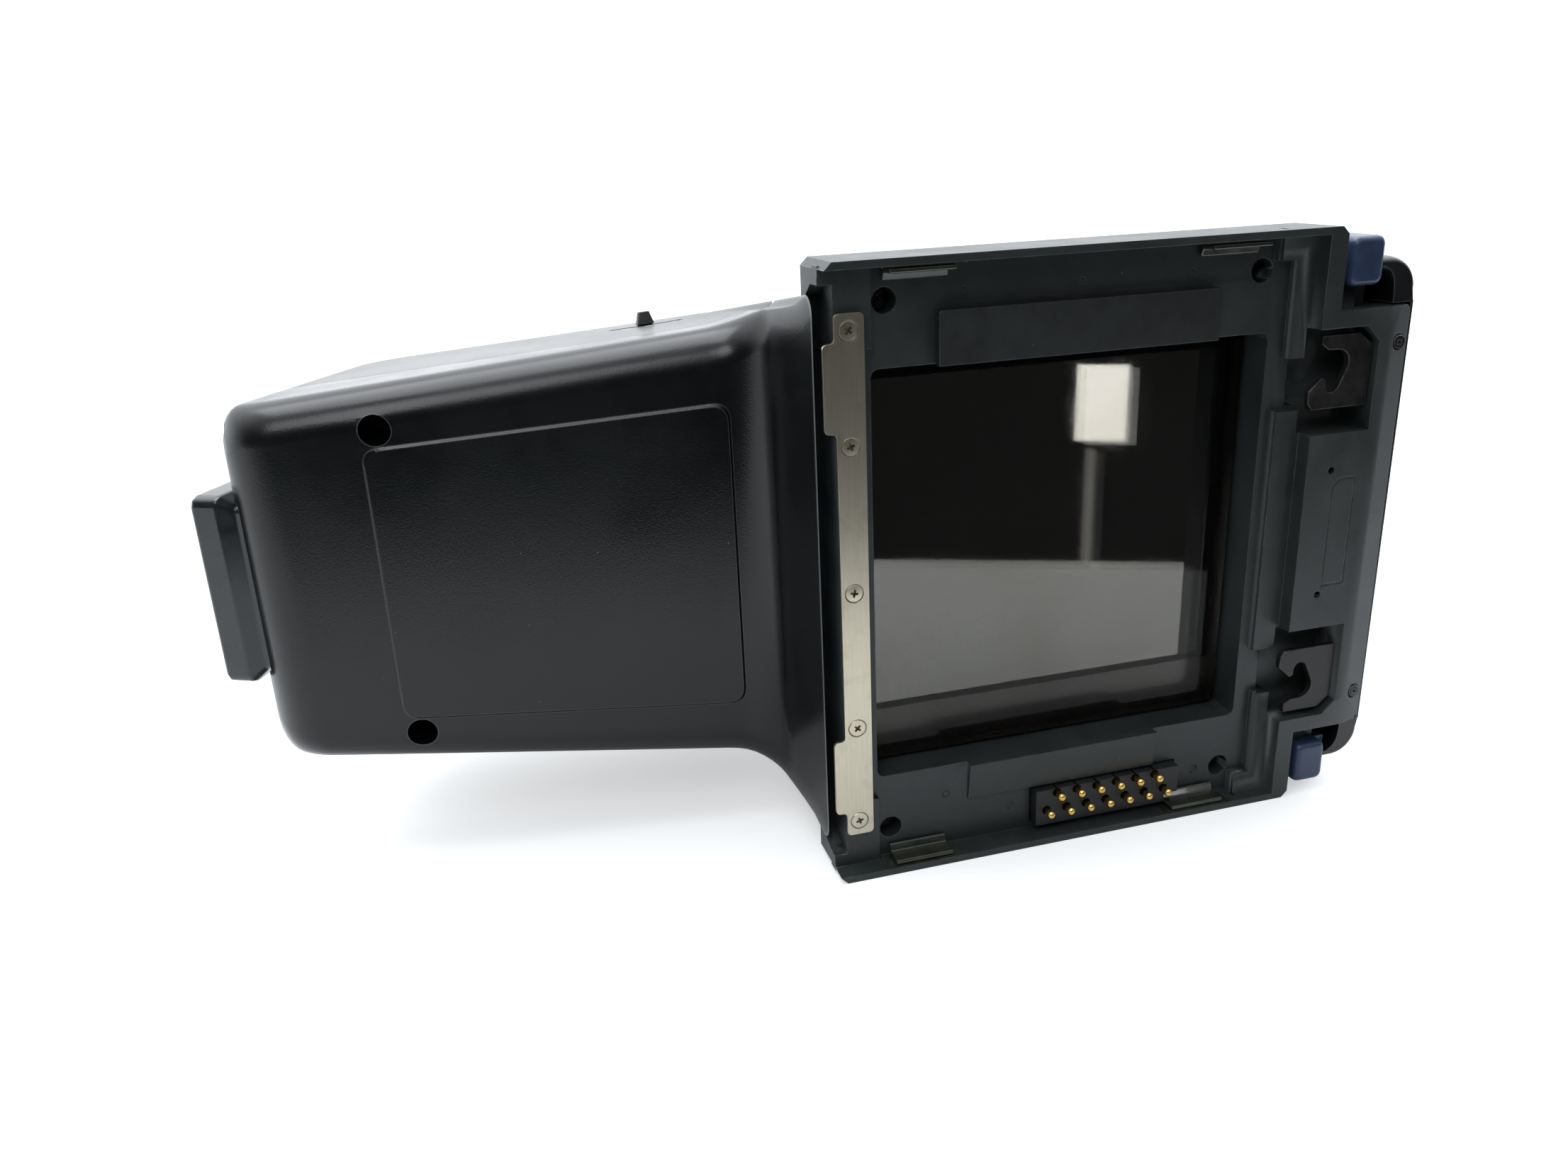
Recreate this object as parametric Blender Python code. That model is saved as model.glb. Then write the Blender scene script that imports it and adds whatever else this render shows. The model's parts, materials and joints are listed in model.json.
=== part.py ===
"""Metered prism viewfinder for a medium-format reflex camera.

The finder lies on its left side.  +X points to the front (release buttons), +Y runs from the
mount face to the finder's top, and +Z is the finder's right side, upwards.  Shapes are written
in millimetres round the middle of the screen opening in the mount face.  The empty finder_frame
carries them so that the world origin is at the bottom centre of the whole finder.
"""
import math

import bmesh
import bpy
from mathutils import Matrix, Vector

# ---------------------------------------------------------------- driving dimensions, in mm
MM = 0.001
GAP = 0.3                       # clearance between pieces that rest on each other

BASE_HALF_WIDTH = 52.0          # half the width of the mount plate, side to side
BASE_REAR_X = -43.6
BASE_FRONT_X = 45.0             # front end of the two side rails
LIP_FRONT_X = 59.9              # front edge of the plate between the buttons
LIP_HALF_WIDTH = 38.5
BASE_THICK = 12.0
FLOOR_Y = 4.8                   # depth of the recessed floor below the mount face
RAIL_INNER_Z = 50.8             # inner face of the side rails
RECESS_FRONT_X = 41.7
SCREEN_HALF_X = 35.1            # half of the screen opening
SCREEN_HALF_Z = 35.2
STRIP_BED_Y = 3.6
STRIP_BED_FRONT_X = -35.3
PLATEAU_Y = 2.9                 # raised bars along the front of the recess
WELL_X = 32.8
WELL_Z = 45.45
RIM_SCREW_X = 57.8
RIM_SCREW_Z = 32.4

POCKET_INNER_Z = 17.9           # latch pockets, from the middle outwards
POCKET_OUTER_Z = 35.7
POCKET_FRONT_X = 53.3
POCKET_DEPTH = 6.5
RELEASE_TRAVEL = 3.5            # how far a release button goes in

COVER_WALL = 2.2
COVER_BOTTOM_Y = BASE_THICK + GAP
COVER_TOP_Y = 90.0
COVER_FRONT_X = 61.0
HOUSING_REAR_X = -135.0
FLARE_START_X = -43.4           # where the rear housing meets the mount plate
FLARE_LENGTH = 11.0
COVER_SCREW_X = -110.0
COVER_SCREW_Z = 27.3

EYEPIECE_REAR_X = -141.7
EYEPIECE_Y = 58.0               # height of the optical axis behind the prism
EYEPIECE_TILT = math.radians(28)        # the eyepiece looks up and back
EYEPIECE_LOW_Y = 44.7           # height of the eyepiece frame's lower rear edge
EYEPIECE_HALF_Y = 13.5
EYEPIECE_HALF_Z = 17.0

STRIP_SCREW_Z = (-41.7, -24.05, 0.0, 24.05, 41.7)
STRIP_SCREW_X = -39.2
PIN_PITCH = 3.94
PIN_ROWS = ((-3.7, -46.75, 7), (-1.73, -43.5, 6))     # first X, Z, number of pins
PIN_TIP_Y = 0.2
PIN_STROKE = 1.2
PIN_ORIGIN_Y = 2.7
PAD_X = (-28.0, 26.0)

SWITCH_X = -58.9
SWITCH_Y = 69.5
SWITCH_TRAVEL = 4.5             # each way from the middle position

# the world origin sits at the bottom centre of the whole finder
FRAME_X = -(EYEPIECE_REAR_X + COVER_FRONT_X) / 2
FRAME_Y = -COVER_TOP_Y / 2
FRAME_Z = BASE_HALF_WIDTH


# ---------------------------------------------------------------- small tools
def clear_scene():
    for obj in list(bpy.data.objects):
        bpy.data.objects.remove(obj, do_unlink=True)


def material(name, colour, roughness, metallic=0.0, transmission=0.0):
    mat = bpy.data.materials.new(name)
    mat.use_nodes = True
    shader = mat.node_tree.nodes["Principled BSDF"]
    shader.inputs["Base Color"].default_value = (*colour, 1.0)
    shader.inputs["Roughness"].default_value = roughness
    shader.inputs["Metallic"].default_value = metallic
    shader.inputs["Transmission Weight"].default_value = transmission
    return mat


def new_object(name, bm, mat=None, origin=(0, 0, 0), smooth=False):
    """Turn a bmesh in millimetres into an object in metres, carried by the frame empty."""
    bmesh.ops.recalc_face_normals(bm, faces=bm.faces)
    offset = Vector(origin)
    for vert in bm.verts:
        vert.co = (vert.co - offset) * MM
    mesh = bpy.data.meshes.new(name)
    bm.to_mesh(mesh)
    bm.free()
    if smooth:
        mesh.shade_smooth()
        mesh.set_sharp_from_angle(angle=math.radians(35))
    obj = bpy.data.objects.new(name, mesh)
    bpy.context.collection.objects.link(obj)
    obj.parent = FRAME
    obj.location = offset * MM
    if mat:
        mesh.materials.append(mat)
    return obj


def guide(name, bm, origin=(0, 0, 0)):
    """A shape that only cuts or is joined into another: it is not a piece of its own."""
    obj = new_object(name, bm, origin=origin)
    obj.hide_render = True
    obj.display_type = "WIRE"
    return obj


def boolean(obj, operation, *tools):
    for tool in tools:
        mod = obj.modifiers.new(operation.lower(), "BOOLEAN")
        mod.operation = operation
        mod.solver = "EXACT"
        mod.object = tool


def cut(obj, *tools):
    boolean(obj, "DIFFERENCE", *tools)


def join(obj, *tools):
    boolean(obj, "UNION", *tools)


def extruded(points, low, high, axis="Y"):
    """A straight block: an outline drawn across one axis and carried along it."""
    place = {
        "Y": lambda a, b, t: (a, t, b),        # outline in X and Z
        "X": lambda a, b, t: (t, a, b),        # outline in Y and Z
        "Z": lambda a, b, t: (a, b, t),        # outline in X and Y
    }[axis]
    bm = bmesh.new()
    rings = [[bm.verts.new(place(a, b, t)) for a, b in points] for t in (low, high)]
    bm.faces.new(rings[0])
    bm.faces.new(reversed(rings[1]))
    count = len(points)
    for i in range(count):
        j = (i + 1) % count
        bm.faces.new((rings[0][j], rings[0][i], rings[1][i], rings[1][j]))
    return bm


def box(x0, x1, y0, y1, z0, z1):
    return extruded([(x0, z0), (x1, z0), (x1, z1), (x0, z1)], y0, y1)


def mirrored(points, side):
    """The outline for the right (+1) or left (-1) side of the finder."""
    return [(x, side * z) for x, z in points]


def arc(cx, cy, radius, start, end, steps):
    """Points along a circle, from one angle to another in degrees."""
    out = []
    for i in range(steps + 1):
        angle = math.radians(start + (end - start) * i / steps)
        out.append((cx + radius * math.cos(angle), cy + radius * math.sin(angle)))
    return out


def rounded_rect(x0, x1, z0, z1, radius, steps=3):
    corners = ((x1, z1, 0), (x0, z1, 90), (x0, z0, 180), (x1, z0, 270))
    out = []
    for x, z, start in corners:
        cx = x - radius if x == x1 else x + radius
        cz = z - radius if z == z1 else z + radius
        out += arc(cx, cz, radius, start, start + 90, steps)
    return out


def lofted(sections):
    """A skin over matching outlines, each a list of (x, y, z), with both ends closed."""
    bm = bmesh.new()
    rings = [[bm.verts.new(p) for p in section] for section in sections]
    count = len(sections[0])
    for near, far in zip(rings, rings[1:]):
        for i in range(count):
            j = (i + 1) % count
            bm.faces.new((near[i], near[j], far[j], far[i]))
    bm.faces.new(rings[0])
    bm.faces.new(rings[-1])
    bmesh.ops.recalc_face_normals(bm, faces=bm.faces)
    bmesh.ops.triangulate(bm, faces=[f for f in bm.faces if len(f.verts) == 4])
    return bm


def turned(profile, centre, axis="Y", sides=16):
    """A turned piece: profile is a list of (distance along the axis, radius), ends closed."""
    bm = bmesh.new()
    cx, cy, cz = centre
    rings = []
    for along, radius in profile:
        ring = []
        for i in range(sides):
            angle = 2 * math.pi * i / sides
            a, b = radius * math.cos(angle), radius * math.sin(angle)
            spot = {
                "X": (cx + along, cy + a, cz + b),
                "Y": (cx + a, cy + along, cz + b),
                "Z": (cx + a, cy + b, cz + along),
            }[axis]
            ring.append(bm.verts.new(spot))
        rings.append(ring)
    for near, far in zip(rings, rings[1:]):
        for i in range(sides):
            j = (i + 1) % sides
            bm.faces.new((near[i], near[j], far[j], far[i]))
    bm.faces.new(rings[0])
    bm.faces.new(rings[-1])
    return bm


def cylinder(radius, start, end, centre, axis="Y", sides=16):
    return turned([(start, radius), (end, radius)], centre, axis, sides)


# ---------------------------------------------------------------- mount plate
def base_outline():
    right = [
        (BASE_REAR_X, BASE_HALF_WIDTH - 1.2),
        (BASE_REAR_X + 1.2, BASE_HALF_WIDTH),
        (BASE_FRONT_X - 1.2, BASE_HALF_WIDTH),
        (BASE_FRONT_X, BASE_HALF_WIDTH - 1.2),
        (BASE_FRONT_X, LIP_HALF_WIDTH),
        (LIP_FRONT_X - 0.8, LIP_HALF_WIDTH),
        (LIP_FRONT_X, LIP_HALF_WIDTH - 0.8),
    ]
    return right + [(x, -z) for x, z in reversed(right)]


def pocket_outline(side):
    chamfer = 2.6
    return mirrored([
        (RECESS_FRONT_X - 0.6, POCKET_INNER_Z),
        (POCKET_FRONT_X, POCKET_INNER_Z),
        (POCKET_FRONT_X, POCKET_OUTER_Z - chamfer),
        (POCKET_FRONT_X - chamfer, POCKET_OUTER_Z),
        (RECESS_FRONT_X - 0.6, POCKET_OUTER_Z),
    ], side)


def make_base(mat):
    base = new_object("base_plate", extruded(base_outline(), 0, BASE_THICK), mat)
    floor = guide("base_floor_cut", box(-60, RECESS_FRONT_X, -5, FLOOR_Y,
                                        -RAIL_INNER_Z, RAIL_INNER_Z))
    cut(base, floor)
    # raised beds that stand on the floor
    sink = FLOOR_Y + 1.0
    beds = [
        guide("strip_bed", box(BASE_REAR_X, STRIP_BED_FRONT_X, STRIP_BED_Y, sink,
                               -RAIL_INNER_Z - 0.5, RAIL_INNER_Z + 0.5)),
        guide("front_bar", box(36.8, RECESS_FRONT_X + 0.5, 3.0, sink, -21.9, 21.9)),
        guide("lower_ramp", extruded([(sink, -35.2), (3.0, -35.2), (3.9, -42.2), (sink, -42.2)],
                                     -18.5, 18.3, "X")),
    ]
    for side, label in ((1, "right"), (-1, "left")):
        bar = mirrored([(38.3, 30.8), (RECESS_FRONT_X + 0.5, 30.8), (RECESS_FRONT_X + 0.5, 51.2),
                        (34.9, 51.2), (34.9, 46.9), (38.3, 46.9)], side)
        beds.append(guide("front_rib_" + label, extruded(bar, PLATEAU_Y, sink)))
        ledge = mirrored([(44.5, 38.0), (50.2, 38.0), (50.2, 42.9), (44.5, 42.9)], side)
        beds.append(guide("notch_ledge_" + label, extruded(ledge, 3.4, BASE_THICK)))
    join(base, *beds)
    # openings
    through = BASE_THICK + 5
    cuts = [
        guide("screen_cut", extruded(rounded_rect(-SCREEN_HALF_X, SCREEN_HALF_X, -SCREEN_HALF_Z,
                                                  SCREEN_HALF_Z, 1.2, 2), -5, through)),
        guide("bed_step_cut", box(-36.3, -34.0, 0, FLOOR_Y, -38.6, 38.6)),
        guide("rear_groove_cut", extruded([(-5, 48.4), (7.0, 48.4), (10.8, 45.7), (10.8, -45.7),
                                           (7.0, -48.4), (-5, -48.4)], -60, -41.3, "X")),
        guide("contact_cut", box(-6.1, 23.3, -5, through, -50.0, -42.4)),
    ]
    for side, label in ((1, "right"), (-1, "left")):
        cuts.append(guide("pocket_cut_" + label,
                          extruded(pocket_outline(side), -5, POCKET_DEPTH)))
        inner = mirrored([(39.5, 22.5), (42.5, 22.5), (42.5, 30.8), (39.5, 30.8)], side)
        cuts.append(guide("pocket_mouth_" + label, extruded(inner, -5, POCKET_DEPTH)))
        arm_slot = mirrored([(50.2, 32.4), (52.9, 32.4), (52.9, 39.5), (50.2, 39.5)], side)
        cuts.append(guide("arm_slot_" + label, extruded(arm_slot, 3.6, 5.6)))
        rim_well = (RIM_SCREW_X, 0, side * RIM_SCREW_Z)
        cuts.append(guide("rim_well_" + label, cylinder(1.45, -5, 1.3, rim_well, sides=20)))
        cuts.append(guide("rim_thread_" + label, cylinder(0.95, 0, 9.5, rim_well, sides=10)))
        for x in (-WELL_X, WELL_X):
            spot = (x, 0, side * WELL_Z)
            end = "rear" if x < 0 else "front"
            cuts.append(guide(f"well_{end}_{label}", cylinder(2.0, -5, 10.0, spot, sides=20)))
            cuts.append(guide(f"well_hole_{end}_{label}", cylinder(1.2, 5, through, spot, sides=10)))
    for i, z in enumerate(STRIP_SCREW_Z):
        cuts.append(guide(f"strip_thread_{i + 1}",
                          cylinder(1.2, 0, 9.0, (STRIP_SCREW_X, 0, z), sides=10)))
    cut(base, *cuts)
    return base


# ---------------------------------------------------------------- locating strip
def make_strip(mat):
    rear, tab, front, end = -41.4, -43.3, -36.7, 44.3
    corner = 0.8
    right = [
        (front, end - corner), (front - corner, end), (rear + corner, end), (rear, end - corner),
        (rear, 40.6), (rear - 0.6, 39.9), (tab + corner, 39.9), (tab, 39.9 - corner),
        (tab, 26.2 + corner), (tab + corner, 26.2), (rear, 25.0),
    ]
    outline = right + [(x, -z) for x, z in reversed(right)]
    strip = new_object("rear_locating_strip", extruded(outline, 2.7, 3.3), mat)
    for i, z in enumerate(STRIP_SCREW_Z):
        cut(strip, guide(f"strip_hole_{i + 1}",
                         cylinder(1.75, 1, 5, (STRIP_SCREW_X, 0, z), sides=20)))


def make_screw(name, mat, centre, head_radius, head_y, head_height, shank_radius, shank_end):
    cone = head_height + 0.5
    profile = [(head_y, head_radius - 0.15), (head_y + 0.1, head_radius),
               (head_y + head_height, head_radius), (head_y + cone, shank_radius),
               (shank_end, shank_radius)]
    return new_object(name, turned(profile, centre, sides=16), mat, smooth=True)


def make_screws(plated, dark):
    for i, z in enumerate(STRIP_SCREW_Z):
        make_screw(f"strip_screw_{i + 1}", plated, (STRIP_SCREW_X, 0, z), 1.45, 2.55, 0.4, 0.85, 8.4)
    for i, side in enumerate((1, -1)):
        make_screw(f"rim_screw_{i + 1}", dark, (RIM_SCREW_X, 0, side * RIM_SCREW_Z),
                   1.1, 0.4, 0.3, 0.6, 8.8)
        make_screw(f"cover_screw_{i + 1}", dark, (COVER_SCREW_X, 0, side * COVER_SCREW_Z),
                   2.1, 43.6, 1.2, 0.9, 56.0)
    corners = [(x, z) for x in (-WELL_X, WELL_X) for z in (WELL_Z, -WELL_Z)]
    for i, (x, z) in enumerate(corners):
        make_screw(f"base_screw_{i + 1}", dark, (x, 0, z), 1.6, 7.8, 1.2, 0.8, 16.5)


# ---------------------------------------------------------------- covers
def side_low(x):
    """Half width of the rear housing low on its side wall."""
    return 40.2 + (x + 47) * 0.10


def side_high(x):
    """Half width of the rear housing where the side wall turns into the top."""
    return 35.5 + (x + 47) * 0.063


def underside_y(x):
    """Height of the sloping underside of the rear housing."""
    return 27.1 - (x + 52.4) * 0.1238


def rounding(x, start, radius):
    """How far a surface has dropped on a quarter round that begins at start, going rearwards."""
    run = min(max(start - x, 0.0), radius)
    return radius - math.sqrt(radius * radius - run * run)


def flare(x):
    """One where the housing meets the mount plate, falling to nothing on a quarter round."""
    t = min(max((FLARE_START_X - x) / FLARE_LENGTH, 0.0), 1.0)
    return 1 - math.sqrt(1 - (1 - t) ** 2)


def housing_section(x, inset, steps):
    """The rear housing's outline at one place along X, drawn inwards by the wall thickness."""
    end = HOUSING_REAR_X + inset
    low_drop = rounding(x, end + 9.0, 9.0)
    side_drop = rounding(x, end + 5.0, 5.0)
    top_drop = rounding(x, end + 10.0, 10.0)
    swell = flare(x)
    y0 = underside_y(x) - 13.7 * swell + low_drop + inset
    if x > FLARE_START_X - 0.1:
        y0 = COVER_BOTTOM_Y + inset
    y1 = 89.0 + (x + 47) * 0.03 - top_drop - inset
    z0 = side_low(x) + 6.2 * swell - side_drop - inset
    z1 = side_high(x) - side_drop - inset
    r0 = max(8.0 - inset, 1.0)
    r1 = max(8.0 - inset, 1.0)
    lower = arc(y0 + r0, z0 - r0, r0, 90, 180, steps)
    upper = arc(y1 - r1, z1 - r1, r1, 0, 90, steps)
    right = upper + lower
    outline = right + [(y, -z) for y, z in reversed(right)]
    return [(x + rear_lean(x, y), y, z) for y, z in outline]


def rear_lean(x, y):
    """How far the rear end leans forward at a height: the eyepiece faces up and back."""
    share = min(max((-78.0 - x) / 42.0, 0.0), 1.0)
    return math.tan(EYEPIECE_TILT) * max(y - 44.0, 0.0) * share


def housing_stations(inset):
    end = HOUSING_REAR_X + inset
    flare_steps = [FLARE_START_X - FLARE_LENGTH * t for t in (0, 0.04, 0.12, 0.25, 0.45, 0.7, 1.0)]
    straight = [-78.0, -92.0, -106.0, -120.0]
    turn = [end + 10.0, end + 7.6, end + 5.4, end + 3.5, end + 1.6, end + 0.5, end]
    return [-38.0 - inset] + flare_steps + straight + turn


def housing_solid(inset, steps=3):
    return lofted([housing_section(x, inset, steps) for x in housing_stations(inset)])


def prism_box_solid(inset, steps=3):
    """The tall front part that covers the prism: outlines in X and Z at rising heights."""
    levels = (
        (COVER_BOTTOM_Y, COVER_FRONT_X, 48.5),
        (21.0, 58.5, 46.2),
        (46.0, 48.0, 40.6),
        (70.0, 36.0, 35.6),
        (82.0, 28.5, 32.0),
        (87.5, 22.5, 28.5),
        (COVER_TOP_Y, 15.0, 22.0),
    )
    sections = []
    for i, (y, front, half) in enumerate(levels):
        height = y
        if inset:
            height = y - inset if i else y - 5.0
        outline = rounded_rect(FLARE_START_X + inset, front - inset, -half + inset, half - inset,
                               9.0 - inset, steps)
        sections.append([(x, height, z) for x, z in outline])
    return lofted(sections)


def parting_outline(gap):
    """The side view of everything that belongs to the underside cover."""
    shift = gap / 2
    return [
        (-160.0, 0.0), (FLARE_START_X - shift, 0.0), (FLARE_START_X - shift, 20.0),
        (FLARE_START_X - 0.6 - shift, 28.0), (FLARE_START_X - 2.0 - shift, 34.5),
        (FLARE_START_X - 4.5 - shift, 39.0), (FLARE_START_X - 9.0, 41.5 - shift),
        (-135.0, 60.0 - shift), (-160.0, 65.0 - shift),
    ]


def corner_flange(side):
    """The lip of the top cover that curves round the outside of each button notch."""
    outer = arc(52.0, 37.4, 9.0, 7, 70.5, 6)
    inner = arc(52.0, 41.0, 4.5, 49.9, 0, 4)
    points = [(COVER_FRONT_X, 38.8)] + outer[1:] + inner + [(56.5, 38.8)]
    return extruded(mirrored(points, side), 3.0, COVER_BOTTOM_Y + 3.0)


def switch_wall():
    """Where the mode switch sits on the right side wall, and the wall's run towards the front."""
    low = (underside_y(SWITCH_X) + 8.0, side_low(SWITCH_X))
    high = (81.0 + (SWITCH_X + 47) * 0.03, side_high(SWITCH_X))
    t = (SWITCH_Y - low[0]) / (high[0] - low[0])
    z = low[1] + (high[1] - low[1]) * t
    run = 0.10 + (0.063 - 0.10) * t
    lean = (high[1] - low[1]) / (high[0] - low[0])
    return z, run, lean


def switch_frame():
    """A frame on the side wall: x along the wall, y up it, z straight out of it."""
    z, run, lean = switch_wall()
    along = Vector((1, 0, run)).normalized()
    out = along.cross(Vector((0, 1, lean))).normalized()
    up = out.cross(along)
    rotation = Matrix((along, up, out)).transposed()
    return Vector((SWITCH_X, SWITCH_Y, z)), rotation


def on_side_wall(bm):
    place, rotation = switch_frame()
    bmesh.ops.transform(bm, matrix=Matrix.Translation(place) @ rotation.to_4x4(), verts=bm.verts)
    return bm


def covers_shell(name, mat):
    """The whole outer shell, before it is parted into its two covers."""
    shell = new_object(name, prism_box_solid(0), mat)
    join(shell, guide(name + "_housing", housing_solid(0)))
    flanges = [guide(f"{name}_flange_{s}", corner_flange(s)) for s in (1, -1)]
    join(shell, *flanges)
    cut(shell, guide(name + "_inner_box", prism_box_solid(COVER_WALL)),
        guide(name + "_inner_housing", housing_solid(COVER_WALL)))
    return shell


def make_top_cover(mat):
    cover = covers_shell("top_cover", mat)
    bosses, holes = [], []
    for i, side in enumerate((1, -1)):
        spot = (COVER_SCREW_X, 0, side * COVER_SCREW_Z)
        bosses.append(guide(f"rear_boss_{i}", cylinder(2.9, 49.6, 79.0, spot, sides=12)))
        holes.append(guide(f"rear_boss_hole_{i}", cylinder(1.25, 40, 58.0, spot, sides=10)))
        for x in (-WELL_X, WELL_X):
            spot = (x, 0, side * WELL_Z)
            bosses.append(guide(f"front_boss_{i}_{x:.0f}",
                                cylinder(1.9, COVER_BOTTOM_Y, 20.0, spot, sides=12)))
            holes.append(guide(f"front_boss_hole_{i}_{x:.0f}", cylinder(1.15, 5, 17.5, spot, sides=10)))
    join(cover, *bosses)
    cut(cover, guide("top_parting", extruded(parting_outline(0), -70, 70, "Z")), *holes)
    cut(cover, guide("eyepiece_cut_top", tilted_block([(-4.3, 1.37, 0.8), (11.9, 1.37, 0.8)])))
    slot = extruded([(-7.4, -1.0), (7.4, -1.0), (7.4, 1.0), (-7.4, 1.0)], -6, 6, "Z")
    cut(cover, guide("switch_slot", on_side_wall(slot)))
    return cover


def make_underside_cover(mat):
    cover = covers_shell("underside_cover", mat)
    bosses, holes = [], []
    for i, side in enumerate((1, -1)):
        spot = (COVER_SCREW_X, 0, side * COVER_SCREW_Z)
        bosses.append(guide(f"well_boss_{i}", cylinder(3.9, 36.0, 48.6, spot, sides=20)))
        holes.append(guide(f"cover_well_{i}", cylinder(2.6, 20, 45.6, spot, sides=20)))
        holes.append(guide(f"cover_well_hole_{i}", cylinder(1.3, 40, 60, spot, sides=10)))
    join(cover, *bosses)
    boolean(cover, "INTERSECT", guide("under_parting", extruded(parting_outline(0.6), -70, 70, "Z")))
    cut(cover, *holes)
    cut(cover, guide("eyepiece_cut_under", tilted_block([(-4.3, 1.37, 0.8), (11.9, 1.37, 0.8)])))
    # the low raised panel on the sloping underside
    panel = []
    corners = ((-52.4, 27.9), (-112.6, 24.3))
    for x, half in corners:
        panel.append((x, half))
    outline = [(-53.6, -27.8), (-52.4, -26.4), (-52.4, 26.4), (-53.6, 27.8),
               (-110.4, 24.4), (-112.6, 22.4), (-112.6, -22.4), (-110.4, -24.4)]
    bm = bmesh.new()
    rings = []
    for lift in (-0.5, 1.0):
        rings.append([bm.verts.new((x, underside_y(x) + lift, z)) for x, z in outline])
    bm.faces.new(rings[0])
    bm.faces.new(rings[1])
    for i in range(len(outline)):
        j = (i + 1) % len(outline)
        bm.faces.new((rings[0][i], rings[0][j], rings[1][j], rings[1][i]))
    join(cover, guide("underside_panel", bm))
    return cover


# ---------------------------------------------------------------- release latches
def hook_outline(side):
    slot_end = arc(45.75, 26.2, 1.35, 180, 330, 5)
    crown = arc(46.4, 29.8, 2.2, -20, 90, 5)
    points = [(43.0, 34.5), (50.3, 34.5), (52.9, 32.4), (52.9, 22.1), (42.1, 22.1), (41.3, 23.2),
              (41.2, 25.3), (43.6, 27.5), (44.4, 27.1)] + slot_end + crown + [(44.3, 32.1), (43.0, 33.0)]
    return mirrored(points, side)


def make_latch(side, label, blue, steel, spring_mat):
    seat = (50.0, 4.0, side * 45.0)
    # button: finger pad outside the cover, and a stem that slides in the cover's pocket
    pad = mirrored(rounded_rect(45.4, 53.5, 46.6, 51.3, 1.2, 2), side)
    button = new_object("release_button_" + label, extruded(pad, 0.8, 11.8), blue, origin=seat)
    cap = mirrored([(47.3, 42.2), (53.5, 42.2), (53.5, 47.6), (47.3, 47.6)], side)
    stem = mirrored([(51.1, 42.2), (54.5, 42.2), (54.5, 45.4), (53.4, 47.6), (51.1, 48.6)], side)
    socket = (53.05, 8.0, 0)
    ends = sorted((side * 41.0, side * 47.3))
    slot = mirrored([(50.0, 41.0), (52.9, 41.0), (52.9, 44.8), (50.0, 44.8)], side)
    join(button, guide("button_cap_" + label, extruded(cap, 0.8, 3.1), origin=seat),
         guide("button_stem_" + label, extruded(stem, 2.0, 11.0), origin=seat))
    cut(button, guide("button_slot_" + label, extruded(slot, 3.6, 5.6), origin=seat),
        guide("button_socket_" + label, cylinder(1.6, ends[0], ends[1], socket, "Z", 12), origin=seat))
    # hook plate: a flat J-slotted plate, with an arm behind it that reaches into the stem
    plate = new_object("hook_plate_" + label, extruded(hook_outline(side), 1.0, 2.2), steel, origin=seat)
    tab = mirrored([(50.6, 28.0), (52.5, 28.0), (52.5, 31.5), (50.6, 31.5)], side)
    arm = mirrored([(50.6, 28.0), (52.5, 28.0), (52.5, 44.4), (50.6, 44.4)], side)
    join(plate, guide("hook_tab_" + label, extruded(tab, 1.6, 5.0), origin=seat),
         guide("hook_arm_" + label, extruded(arm, 4.0, 5.2), origin=seat))
    make_spring("latch_spring_" + label, spring_mat, (53.05, 8.0), side * 39.2, side * 46.6)


def make_spring(name, mat, centre, z0, z1):
    """A coil spring along Z: a wire swept along a helix that a formula gives."""
    turns, per_turn, radius = 6, 12, 1.05
    total = turns * per_turn
    curve = bpy.data.curves.new(name, "CURVE")
    curve.dimensions = "3D"
    curve.bevel_depth = 0.2 * MM
    curve.bevel_resolution = 1
    curve.use_fill_caps = True
    curve.render_resolution_u = 0
    spline = curve.splines.new("POLY")
    spline.points.add(total)
    for i in range(total + 1):
        angle = 2 * math.pi * i / per_turn
        spot = (radius * math.cos(angle), radius * math.sin(angle), (z1 - z0) * i / total)
        spline.points[i].co = (*(c * MM for c in spot), 1.0)
    obj = bpy.data.objects.new(name, curve)
    bpy.context.collection.objects.link(obj)
    obj.parent = FRAME
    obj.location = Vector((centre[0], centre[1], z0)) * MM
    curve.materials.append(mat)


# ---------------------------------------------------------------- contacts, pads and shields
def make_contacts(insulator, gold):
    outline = [(-5.8, -49.7), (20.3, -49.7), (20.3, -48.0), (23.0, -48.0), (23.0, -42.7), (-5.8, -42.7)]
    block = new_object("contact_block", extruded(outline, 2.7, 11.6), insulator)
    number = 0
    for first_x, z, count in PIN_ROWS:
        for i in range(count):
            number += 1
            place = (first_x + PIN_PITCH * i, 0, z)
            cut(block, guide(f"pin_hole_{number:02d}", cylinder(0.85, 1, 9.6, place, sides=8)))
            profile = [(PIN_TIP_Y, 0.3), (PIN_TIP_Y + 0.2, 0.62), (PIN_TIP_Y + 1.0, 0.7),
                       (PIN_TIP_Y + 1.2, 0.5), (7.8, 0.5)]
            new_object(f"contact_pin_{number:02d}", turned(profile, place, sides=8), gold,
                       origin=(place[0], PIN_ORIGIN_Y, z), smooth=True)


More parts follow.
